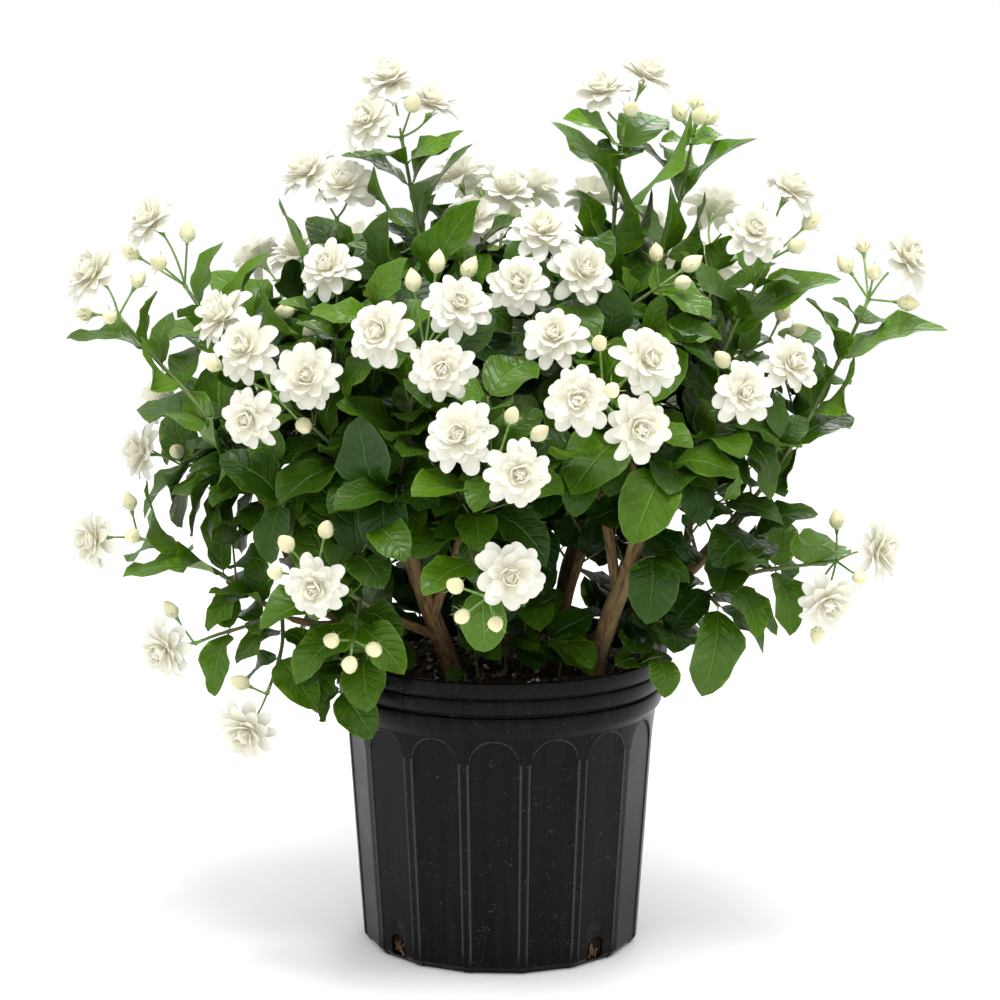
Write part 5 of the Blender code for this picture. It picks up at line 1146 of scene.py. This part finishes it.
# leaf blades in centimetres: rows along the blade, columns once round it, and the exponents of the outline
leafShape = dict(
    largeRows=(0.02, 0.07, 0.15, 0.25, 0.36, 0.48, 0.60, 0.72, 0.84, 0.94),
    smallRows=(0.03, 0.12, 0.27, 0.45, 0.63, 0.80, 0.93),
    largeAcross=(1.0, 0.55, 0.0, -0.55, -1.0, -0.55, 0.0, 0.55), smallAcross=(1.0, 0.5, -0.5, -1.0, -0.5, 0.5),
    foot=0.62, point=0.86, petiole=0.055, thick=0.026, fold=0.13, ripple=0.075,
)


# many leaves at once: closed rings of points along an arched, waved and slightly rippled blade.
# The middle line rises by arch s (1 - s) of the length, the edges by the lift at each station, and the half
# width goes as t to the foot's power times (1 - t) to the point's power, with its greatest value made 1.
def leafBodies(leaves, places, across):
    base, tip, rise = columnsOf(leaves, "base", "tip", "rise")
    width, wave, tone, phase, blunt = (values[:, None, None] for values in
                                       columnsOf(leaves, "width", "wave", "tone", "phase", "blunt"))
    chord = tip - base
    length = np.linalg.norm(chord, axis=-1, keepdims=True)
    ahead = chord / length
    up = units(rise - ahead * (rise * ahead).sum(axis=-1, keepdims=True))
    side = np.cross(up, ahead)
    t = np.concatenate([[-0.06, -0.01], places])[None, :, None]
    s = 0.07 + 0.93 * t
    t = np.clip(t, 0, 1)
    q = np.array(across)[None, None, :]
    columns = len(across)
    upper = np.where(np.arange(columns) < columns / 2, 1.0, -1.0) * (np.abs(q) < 1)
    foot, point = leafShape["foot"] - 0.16 * blunt, leafShape["point"] - 0.22 * blunt
    peak = foot / (foot + point)
    half = 0.5 * width * 1.04 * (t / peak) ** foot * ((1 - t) / (1 - peak)) ** point
    half = np.maximum(half, leafShape["petiole"])
    lift = leafShape["fold"] + (0.03 + wave) * np.cos(math.pi * (s - 0.34) / 0.38)
    ripple = leafShape["ripple"] * np.sin(2 * math.pi * 2.3 * s + phase + 1.7 * np.sign(q)) * np.abs(q) ** 3
    raised = half * 2 * (lift * np.abs(q) ** 1.3 + ripple) * np.clip(t * 6, 0, 1)
    thick = np.where(t > 0, leafShape["thick"] * (1.7 - np.abs(q)), leafShape["petiole"])
    height = raised + upper * thick + length[:, :, None] * leafSizes["arch"] * s * (1 - s)
    rings = (base[:, None, None] + chord[:, None, None] * s[..., None]
             + side[:, None, None] * (half * q)[..., None] + up[:, None, None] * height[..., None])
    leaf = stacked(s, q, tone)
    under = np.broadcast_to((upper < 0)[..., None], leaf.shape[:3] + (1,)).astype(float)
    return bodies(rings, base, tip, leaf=leaf, under=under)


# how deep a place stands in the bush: 0 at its outside and 1 well inside, for the leaves' painted shade
def shadeDepthOf(place):
    reach = np.array(place) - (0.5, 0.0, 42.0)
    return float(np.clip(1.15 - np.linalg.norm(reach / (26.0, 21.0, 21.0)), 0, 1))


# a leaf's record: its tone is painted shade of the bush, lighter high up and darker deep inside; wider and blunter
# low down
def makeLeaf(base, found, tone, random):
    tip, rise, width, wave = found
    deepShade = shadeDepthOf((np.array(base) + tip) / 2)
    high = np.clip((tip[2] - 40) / 28, 0, 1)
    # painted shade of the bush: the tone rises high up and falls deep inside
    tone = np.clip(tone + 0.25 * high - 0.75 * deepShade, 0.0, 1.0)
    return dict(base=np.array(base), tip=np.array(tip), rise=rise, width=width * (1.0 + 0.12 * (1 - high)),
                wave=wave, tone=tone, phase=random.uniform(0, 6.28), blunt=1.0 - high)


# low leafy twigs about the stems' feet: start, end, leaf length and, where it isn't 0.7, the middle's rise
basalTwigs = [
    ((1.6, -3.6, 23.0), (2.2, -6.8, 29.4), 4.4), ((0.4, -4.8, 23.0), (0.2, -7.8, 27.8), 3.8),
    ((3.6, -3.8, 23.0), (3.8, -7.0, 26.6), 4.4), ((-7.4, -3.6, 23.0), (-10.8, -7.6, 28.0), 4.8),
    ((-8.6, -2.0, 23.0), (-12.2, -6.0, 27.6), 5.0), ((-8.0, -5.0, 22.9), (-10.8, -10.0, 25.8), 4.4),
    ((-10.0, -3.0, 22.8), (-14.8, -8.2, 25.0), 4.6), ((10.4, -3.6, 22.8), (13.6, -6.6, 27.0), 4.4),
    ((9.4, -1.0, 22.8), (13.4, -3.4, 26.8), 4.8), ((10.0, 1.0, 22.8), (13.8, 0.4, 28.8), 5.4),
    ((2.8, 0.6, 23.1), (2.0, -1.6, 30.0), 5.8), ((-2.4, 0.4, 23.1), (-3.6, -2.2, 30.2), 5.6),
    ((-9.0, 3.0, 22.9), (-13.6, 3.2, 28.6), 5.4), ((6.6, 5.0, 22.9), (9.6, 7.4, 29.4), 5.6),
    ((-5.0, 7.0, 22.8), (-8.4, 9.8, 28.4), 5.4), ((1.0, 8.0, 22.8), (1.4, 12.0, 28.0), 5.4),
    ((-1.0, 4.0, 23.0), (0.4, 5.0, 31.0), 5.8), ((3.0, 3.0, 23.0), (4.4, 2.6, 31.0), 5.8),
    ((-6.0, 2.6, 23.0), (-8.0, 2.4, 31.0), 5.8), ((8.0, 3.4, 22.9), (10.0, 4.4, 30.6), 5.6),
    ((-8.6, -6.2, 22.9), (-12.8, -9.9, 22.6), 4.6, 2.9), ((6.4, -7.4, 22.9), (8.2, -8.6, 24.8), 2.6),
    ((-2.6, -8.6, 22.8), (-3.4, -9.6, 24.6), 2.4), ((11.0, -4.2, 22.8), (11.6, -5.0, 24.6), 2.4),
    ((4.6, -6.2, 22.9), (5.2, -8.2, 26.6), 3.6), ((-1.8, -6.4, 22.9), (-2.4, -8.6, 27.2), 3.6),
    ((8.6, -5.8, 22.8), (10.6, -7.8, 26.2), 3.8), ((9.8, -6.4, 22.8), (12.6, -8.8, 25.4), 3.6),
]

# lines of sight that the small leaves keep clear, seen from the front: place at y = 0, radius, and the depth
# as far as which they are clear
clearSights = np.array([
    (17.0, 22.8, 0.5, 40), (16.3, 29.8, 0.4, 40), (18.8, 24.8, 0.4, 40), (13.9, 34.1, 0.4, 40),
    (4.5, 32.5, 0.5, 40), (6.4, 28.3, 0.4, 40), (5.3, 31.1, 0.5, 40), (19.8, 39.2, 0.3, 40),
    (8.1, 33.1, 0.3, 40), (14.1, 22.9, 0.3, 40), (17.5, 34.4, 0.3, 40), (15.2, 31.0, 0.3, 40),
    (17.0, 33.2, 0.3, 40), (4.3, 29.0, 0.3, 40), (17.9, 26.3, 0.3, 40), (14.6, 27.8, 0.3, 40),
    (-13.1, 25.8, 0.3, 40), (18.7, 36.7, 0.3, 40), (-7.1, 30.9, 0.6, -1), (-6.6, 29.3, 0.6, -1),
    (-6.0, 27.7, 0.6, -1), (-5.3, 25.6, 0.6, -1), (-4.5, 23.5, 0.6, -1), (10.6, 31.7, 0.6, -1),
    (10.0, 29.8, 0.6, -1), (9.3, 27.8, 0.6, -1), (8.6, 26.0, 0.6, -1), (7.9, 23.9, 0.6, -1),
])
eye = np.array((-0.08, -252.0, 80.8))


# three places along a leaf are carried on the lines from the eye to the plane y = 0
def isInTheWay(base, tip, width):
    for share in (0.3, 0.55, 0.8):
        spot = base + (tip - base) * share
        seen = eye + (spot - eye) * 252.0 / (252.0 + spot[1])
        reach = np.hypot(clearSights[:, 0] - seen[0], clearSights[:, 1] - seen[2])
        if np.any((reach < clearSights[:, 2] + 0.2 * width) & (spot[1] < clearSights[:, 3])):
            return True
    return False


# small leaves, in centimetres: the shoots' own pairs, and twigs in the bush and at its foot. Size, tone and turn
# are ranges; turns are those that the search for a free place tries
filler = dict(
    pairs=dict(first=1.4, spacing=2.7, room=1.5, size=(3.4, 6.0), tone=(0.4, 0.9)),
    twigs=dict(spacing=2.2, lowest=29.5, reach=(4.0, 8.5), endLowest=27.5, bush=(24.0, 20.0, 17.5), first=1.6,
               step=2.0, size=(3.8, 6.4), tone=(0.25, 0.8)),
    basal=dict(step=2.1, tone=(0.2, 0.65), rise=0.7),
    length=(0.85, 1.15), lean=(0.2, 0.8), droop=(-0.1, 0.3), widen=(-0.03, 0.12), turn=(-0.3, 0.3),
    turns=(0, 40, -40), shares=(1.0, 0.75), twigStep=1.2)


# small leaf pairs between those of the solids, and leafy twigs in the bush
def fillerLeaves(stems, wood, clear, taken, random):
    leaves, twigs = [], []

    # gives back whether any leaf of the pair found room
    def addPair(path, place, size, turn, tone):
        before = len(leaves)
        for base, found in leafPair(path, place, turn, size, filler, clear, random):
            if found and not isInTheWay(base, found[0], found[2]):
                leaves.append(makeLeaf(base, found, tone, random))
        return len(leaves) > before

    # a twig is kept as far as its last leaves
    def addTwig(path, last):
        if last > 0:
            places = np.linspace(0.0, min(last / pathLength(path), 1.0), 5)
            twigs.append(np.array([along(path, place)[0] for place in places]))

    def quarterTurn():
        return math.pi / 2 + random.uniform(*filler["turn"])

    pairs, bushTwigs, basal = filler["pairs"], filler["twigs"], filler["basal"]
    for name, paths in stems.items():
        for number, path in enumerate(paths):
            turn = random.uniform(0, math.pi)
            for place in np.arange(pairs["first"], pathLength(path) - 0.4, pairs["spacing"]):
                turn += quarterTurn()
                if all(abs(place - other) > pairs["room"] for other in taken.get((name, number), [])):
                    addPair(path, place, random.uniform(*pairs["size"]), turn, random.uniform(*pairs["tone"]))
    hosts = [(path, 0.22) for limbs in wood.values() for path in limbs]
    hosts += [(path, 0.0) for paths in stems.values() for path in paths]
    for path, low in hosts:
        length = pathLength(path)
        for place in np.arange(length * low + 1.0, length, bushTwigs["spacing"]):
            base, axis = along(path, place / length)
            if base[2] < bushTwigs["lowest"]:
                continue
            side, other = frameAbout(axis)
            for _ in range(2):
                out = turned(side, other, random.uniform(0, 2 * math.pi))
                aim = unit(out + axis * 0.5 + np.array((0, 0, random.uniform(-0.2, 0.5))))
                reach = random.uniform(*bushTwigs["reach"])
                end = base + aim * reach
                middle = base + aim * reach * 0.5 + np.array((0, 0, 0.5))
                outside = np.linalg.norm((end - (0.5, 0.0, 42.0)) / bushTwigs["bush"])
                if outside > 1.0 or end[2] < bushTwigs["endLowest"]:
                    continue
                twig = smoothPath([base, middle, end], filler["twigStep"])
                turn, last = random.uniform(0, math.pi), 0.0
                for spot in np.arange(bushTwigs["first"], reach, bushTwigs["step"]):
                    turn += quarterTurn()
                    if addPair(twig, spot, random.uniform(*bushTwigs["size"]), turn,
                               random.uniform(*bushTwigs["tone"])):
                        last = spot + 0.2
                addTwig(twig, last)
    for start, end, size, *lift in basalTwigs:
        start, end = np.array(start), np.array(end)
        middle = (start + end) / 2 + (0.0, 0.0, lift[0] if lift else basal["rise"])
        twig = smoothPath([start, middle, end], filler["twigStep"])
        turn, reach, last = random.uniform(0, math.pi), pathLength(twig), 0.0
        for spot in np.arange(reach - 0.3, 1.4, -basal["step"]):
            if addPair(twig, spot, size, turn, random.uniform(*basal["tone"])):
                last = max(last, spot + 0.2)
            turn += quarterTurn()
        addTwig(twig, last)
    return leaves, twigs


# stems in centimetres: radii from foot to tip of a shoot's main stem, its side stems and twigs
stemShape = dict(main=(0.20, 0.145), side=(0.175, 0.135), twig=(0.11, 0.07), knot=0.35, knotWidth=0.22,
                 step=0.35, twigStep=0.8, woodyAge=9.0)


def buildFoliage(wood, stems, plan, clear, taken, random):
    leaves = [makeLeaf(base, found, random.uniform(0.45, 0.85), random)
              for placed in plan.values() for base, found in placed]
    extra, twigs = fillerLeaves(stems, wood, clear, taken, random)
    print(len(leaves), "leaves of the solids and", len(extra), "smaller ones on", len(twigs), "twigs")
    look = finish("jasmine_leaf", leafRule, leafConstants)
    large = leafBodies(leaves, leafShape["largeRows"], leafShape["largeAcross"])
    small = leafBodies(extra, leafShape["smallRows"], leafShape["smallAcross"])
    large, small = makePiece("leaves", [large], [look], 60.0), makePiece("small_leaves", [small], [look], 60.0)
    parts = []
    for name, paths in stems.items():
        for number, line in enumerate(paths):
            path, places = rounded(line, stemShape["step"])
            if number == 0:
                path[0] -= unit(path[1] - path[0]) * 0.12
            radii = np.linspace(*stemShape["side" if number else "main"], len(path))
            for spot in taken.get((name, number), []):
                bell = np.exp(-((places - spot) / stemShape["knotWidth"]) ** 2)
                radii = radii * (1 + stemShape["knot"] * bell)
            age = np.clip(1.0 - places / stemShape["woodyAge"], 0, 1) * (0.4 if number else 0.9)
            parts.append(tubeBody(path, radii, 8, age=np.broadcast_to(age[:, None, None], (len(path), 8, 1))))
    for twig in twigs:
        path, _ = finePath(twig, stemShape["twigStep"])
        parts.append(tubeBody(path, np.linspace(*stemShape["twig"], len(path)), 6,
                              age=np.full((len(path), 6, 1), 0.35)))
    green = makePiece("green_stems", parts, [finish("jasmine_stem", stemRule)], 80.0)
    for thing in (large, small, green):
        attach(thing, "root")
    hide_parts(*shootPlan)


# petals: whorls as (count, length, width, opening from the axis in degrees, start along the axis, curl, depth in
# the flower that sets its painted shade), the width along a petal, its rows and the columns once round it with
# their faces
petalShape = dict(
    whorls=[
        (9, 2.80, 1.22, 102.0, -0.26, -0.14, 0.05),
        (9, 2.58, 1.24, 82.0, -0.10, -0.02, 0.1),
        (8, 2.26, 1.20, 61.0, 0.06, 0.16, 0.3),
        (6, 1.92, 1.16, 40.0, 0.18, 0.38, 0.6),
        (5, 1.56, 1.08, 22.0, 0.30, 0.60, 0.8),
        (3, 1.22, 0.96, 9.0, 0.34, 0.80, 0.9),
    ],
    widths=[(0.05, 0.44), (0.30, 0.80), (0.55, 0.98), (0.76, 0.96), (0.90, 0.70), (0.975, 0.35)],
    across=(1.0, 0.5, -0.5, -1.0, -0.5, 0.5), faces=(0, 1, 1, 0, -1, -1), thick=0.034, cup=0.30, ruffle=0.10)


# each petal is a cupped blade on a curved middle line: its angle from the axis is opening (0.55 + 0.55 s) less
# 1.6 bend s^2, the line is the running sum of that direction, and the width goes by the table
def petalBodies(flowers, whorl, random):
    count, length, width, opening, start, curl, deepShade = petalShape["whorls"][whorl]
    total = len(flowers) * count
    centre, axis, side, other, size = (np.repeat(values, count, axis=0) for values in
                                       columnsOf(flowers, "centre", "axis", "side", "other", "size"))
    turn = np.tile(turnsOf(count), len(flowers)) + 0.4 * whorl + random.uniform(-0.16, 0.16, total)
    out = turnedEach(side, other, turn)
    across = np.cross(axis, out)
    opened = np.radians(opening + random.uniform(-13, 13, total))[:, None]
    long = (length * size * random.uniform(0.90, 1.08, total))[:, None]
    bend = curl * random.uniform(0.2, 1.6, (total, 1))

    def leaning(share):
        return opened * (0.55 + 0.55 * share) - bend * share ** 2 * 1.6

    s, widths = np.array(petalShape["widths"]).T
    fine = np.linspace(0, 1, 25)
    sums = [np.concatenate([np.zeros((total, 1)), np.cumsum((f[:, 1:] + f[:, :-1]) / 2, axis=1) / 24], axis=1)
            for f in (np.sin(leaning(fine[None, :])), np.cos(leaning(fine[None, :])))]
    spots = np.concatenate([s, [1.0]])
    outward, upward = (np.stack([np.interp(spots, fine, row) for row in table]) * long for table in sums)
    half = (0.5 * width * (size * random.uniform(0.88, 1.12, total))[:, None] * widths[None, :])[..., None]
    q = np.array(petalShape["across"])[None, None, :]
    tilt = random.uniform(-0.22, 0.22, (total, 1, 1))
    angle = leaning(s[None, :])
    normal = axis[:, None] * np.sin(angle)[..., None] - out[:, None] * np.cos(angle)[..., None]
    waves = np.sin(5 * s[None, :, None] + random.uniform(0, 6.28, (total, 1, 1)))
    ruffle = petalShape["ruffle"] * half * waves * q
    lift = petalShape["cup"] * half * (q ** 2 - 0.3) + tilt * half * q + ruffle
    lift = lift + np.array(petalShape["faces"])[None, None, :] * petalShape["thick"]
    line = ((centre + axis * (start * size)[:, None])[:, None] + out[:, None] * outward[:, :, None]
            + axis[:, None] * upward[:, :, None])
    rings = (line[:, :-1, None] + across[:, None, None] * (half * q)[..., None]
             + normal[:, :, None] * lift[..., None])
    trait = stacked(s[None, :, None], q, np.full((total, 1, 1), deepShade))
    return bodies(rings[:, :, ::-1], line[:, 0] - axis * 0.02, line[:, -1], petal=trait[:, :, ::-1])


# a line bent from the hub to a foot, where it runs along the axis: (1-t)^2 hub + 2t(1-t) knee + t^2 foot
def bentLine(hub, foot, axis, step=0.25):
    reach = np.linalg.norm(foot - hub)
    knee = foot - axis * reach * 0.42
    t = np.linspace(0, 1, max(5, int(reach / step)))[:, None]
    return (1 - t) ** 2 * hub + 2 * t * (1 - t) * knee + t ** 2 * foot


# calyx teeth: share of the length and thickness at each row
toothShape = dict(count=8, rows=(0.0, 0.4, 0.8), thick=(0.055, 0.045, 0.028), seat=0.15, reach=0.85,
                  spread=dict(flower=0.35, bud=0.75))


# thin pointed teeth round a calyx, each leaning out by lean s (0.4 + s) of its length
def toothBodies(seats, random):
    count = toothShape["count"]
    place, axis, spread = (np.repeat(values, count, axis=0) for values in
                           columnsOf(seats, "place", "axis", "spread"))
    side, other = framesOf(axis)
    turn = np.tile(turnsOf(count), len(seats)) + random.uniform(-0.15, 0.15, len(place))
    out = turnedEach(side, other, turn)
    across = np.cross(axis, out)
    s = np.array(toothShape["rows"])[None, :, None, None]
    long = (toothShape["reach"] * random.uniform(0.75, 1.15, len(place)))[:, None, None, None]
    lean = (spread * random.uniform(0.7, 1.3, len(place)))[:, None, None, None]
    line = (place + out * toothShape["seat"])[:, None, None] + long * (
        axis[:, None, None] * s + out[:, None, None] * lean * s * (0.4 + s))
    thick = np.array(toothShape["thick"])[None, :, None, None]
    rings = line + thick * ringsAbout(turnsOf(4), out, across)[:, None]
    last = line[:, -1, 0] + (long[:, :, 0] * (axis[:, None] * 0.2 + out[:, None] * lean[:, :, 0] * 0.25))[:, 0]
    return bodies(rings, line[:, 0, 0] - axis * 0.05, last)


budShape = dict(rows=11, columns=14, width=0.66, foot=-0.86, length=1.86, fold=0.06, folds=3, wind=4.2)


# ovoid buds: radius 0.66 sin(pi s^0.86)^0.72 (1 - 0.12 s), with folds that wind round them
def budBodies(buds, look):
    place, axis, size = columnsOf(buds, "centre", "axis", "size")
    size = size[:, None, None, None]
    s = np.linspace(0.03, 0.97, budShape["rows"])
    turns = turnsOf(budShape["columns"])
    profile = budShape["width"] * np.sin(math.pi * s ** 0.86) ** 0.72 * (1 - 0.12 * s)
    height = budShape["foot"] + budShape["length"] * s
    winding = np.sin(budShape["folds"] * turns[None, :] + budShape["wind"] * s[:, None])
    reach = profile[:, None] * (1 + budShape["fold"] * winding * np.sin(math.pi * s)[:, None])
    ring = ringsAbout(turns, *framesOf(axis))[:, None] * reach[None, :, :, None]
    rings = place[:, None, None] + size * (ring + axis[:, None, None] * height[None, :, None, None])
    # the buds take the painted shade at a depth of 0.8
    trait = stacked(s[None, :, None], np.sin(turns)[None, None, :], np.full((len(buds), 1, 1), 0.8))
    first, last = (place + axis * reach * size[:, 0, 0] for reach in (-0.92, 1.06))
    return bodies(rings, first, last, look, petal=trait)


# flowers and buds with their stalks: foot is how far below the centre a stalk ends, green its share up to the
# calyx, and the pale tube of a flower goes on from there
bloomShape = dict(
    flower=dict(foot=0.45, green=0.90), bud=dict(foot=0.72, green=1.0), peduncle=(0.16, 0.15, 0.15, 0.19, 0.22),
    stalk=(0.10, 0.085), calyx=(0.15, 0.20), tube=(0.13, 0.24), tubeTrait=(0.06, 0.0, 0.1),
    # white holds the petals' (foot, tip) colours, the warm foot a painted shade; cream holds the buds' own (foot,
    # tip) colours
    white=((0.79, 0.75, 0.52), (0.79, 0.782, 0.695)), cream=((0.42, 0.50, 0.12), (0.76, 0.70, 0.40)))


def buildBlooms(ends, stems, random):
    flowers, buds, seats, green, white = [], [], [], [], []

    def addStalk(hub, place, axis, kind):
        shape = bloomShape[kind]
        line = bentLine(hub, place - axis * shape["foot"], axis)
        split = max(3, int(len(line) * shape["green"]))
        radii = np.linspace(*bloomShape["stalk"], split)
        radii[-2:] = bloomShape["calyx"]
        green.append(tubeBody(line[:split], radii, 8))
        seats.append(dict(place=line[split - 1], axis=unit(line[split - 1] - line[split - 2]),
                          spread=toothShape["spread"][kind]))
        if split < len(line) - 1:
            upper = line[split - 1:]
            trait = np.broadcast_to(np.array(bloomShape["tubeTrait"]), (len(upper), 8, 3))
            white.append(tubeBody(upper, np.linspace(*bloomShape["tube"], len(upper)), 8, 1, petal=trait))

    def addBud(hub, place, axis):
        buds.append(dict(centre=place, axis=axis, size=0.96 + 0.08 * math.sin(place.sum())))
        addStalk(hub, place, axis, "bud")

    for name in bloomPlan:
        hub, pieces = bloomPieces(name)
        start, away = ends[name]
        green.append(tubeBody(np.linspace(start - away * 0.1, hub, 5), np.array(bloomShape["peduncle"]), 8))
        for kind, place, axis, radius, spin in pieces:
            if kind == "flower":
                side, other = frameAbout(axis, spin)
                size = radius / flowerSizes["radius"]
                flowers.append(dict(centre=place, axis=axis, side=side, other=other, size=size))
                addStalk(hub, place, axis, "flower")
            else:
                addBud(hub, place, axis)
    for name, paths in stems.items():
        for (_, tip), path in zip(shootPlan[name][2], paths):
            for place in looseBuds(tip):
                addBud(path[-1], place, unit(place - path[-1]))
    whites = [petalMaterial("petal_white", *bloomShape["white"]), petalMaterial("bud_cream", *bloomShape["cream"])]
    calyxLook = grainyMaterial("jasmine_calyx", (0.13, 0.27, 0.05), (0.30, 0.46, 0.13), (220.0,), (0.45, 0.65),
                               (0.2, 0.0004))
    outer = makePiece("outer_petals", [petalBodies(flowers, whorl, random) for whorl in (0, 1)], whites[:1], 80.0)
    inner = makePiece("inner_petals", [petalBodies(flowers, whorl, random) for whorl in (2, 3, 4, 5)]
                      + [budBodies(buds, 1)] + white, whites, 80.0)
    calyx = makePiece("calyces", [toothBodies(seats, random)] + green, [calyxLook], 70.0)
    for thing in (outer, inner, calyx):
        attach(thing, "root")
    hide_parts(*bloomPlan)


wood = woodPaths()
stems, ends = stemPaths(wood)
plan, clear, taken = leafPlan(stems, wood)
print("leaf plan made")
random = np.random.default_rng(7)
buildPot()
buildSoil(random)
buildWood(wood, random)
buildFoliage(wood, stems, plan, clear, taken, random)
buildBlooms(ends, stems, random)

# pale floor and soft studio light, in metres and watts: lights are (name, place, target, size, power)
studio = dict(
    floorHalf=90, floorLevel=-0.0005, floorColour=(0.93, 0.93, 0.93, 1.0), sky=(0.60, 1.18),
    lights=(("key", (-0.35, -0.8, 3.0), (0, 0, 0.40), 0.9, 31.0),
            ("back", (0.5, 2.3, 2.2), (0, 0, 0.45), 1.2, 16.0),
            ("fill", (0.6, -0.7, 2.8), (0, 0, 0.40), 0.8, 25.0),
            ("front", (0.3, -2.5, 2.1), (0, 0, 0.35), 0.4, 5.5)))
white = (1.0, 1.0, 1.0, 1.0)

half, level = studio["floorHalf"], studio["floorLevel"]
floorMesh = bpy.data.meshes.new("floor")
floorMesh.from_pydata([(-half, -half, level), (half, -half, level), (half, half, level), (-half, half, level)], [],
                      [(0, 1, 2, 3)])
floor = bpy.data.objects.new("floor", floorMesh)
bpy.context.scene.collection.objects.link(floor)
floorLook, _, floorShader = nodeMaterial("floor")
setConstants(floorShader, {"Base Color": studio["floorColour"], "Roughness": 0.9, "Specular IOR Level": 0.0,
                           "Emission Color": white, "Emission Strength": 0.085})
floorMesh.materials.append(floorLook)

world = bpy.data.worlds.new("studio")
bpy.context.scene.world = world
world.use_nodes = True
background = world.node_tree.nodes["Background"]
sky = Nodes(world.node_tree)
height = sky.parts(sky.new("TexCoord").outputs["Generated"])[2]
background.inputs["Color"].default_value = white
sky.put(background.inputs["Strength"], sky.remap(height, 0.0, 1.0, *studio["sky"]))

for name, place, target, size, power in studio["lights"]:
    lamp = bpy.data.lights.new(name, "AREA")
    lamp.shape = "DISK"
    lamp.size = size
    lamp.energy = power
    thing = bpy.data.objects.new(name, lamp)
    thing.location = place
    thing.rotation_euler = (Vector(target) - Vector(place)).to_track_quat("-Z", "Y").to_euler()
    bpy.context.scene.collection.objects.link(thing)

lens = bpy.data.cameras.new("camera")
lens.lens = 113.8
lens.sensor_width = 36.0
camera = bpy.data.objects.new("camera", lens)
camera.location = (-0.0008, -2.52, 0.808)
camera.rotation_euler = (math.radians(80.0), 0.0, 0.0)
bpy.context.scene.collection.objects.link(camera)
bpy.context.scene.camera = camera
bpy.context.scene.view_settings.view_transform = "Standard"

print("scene made")
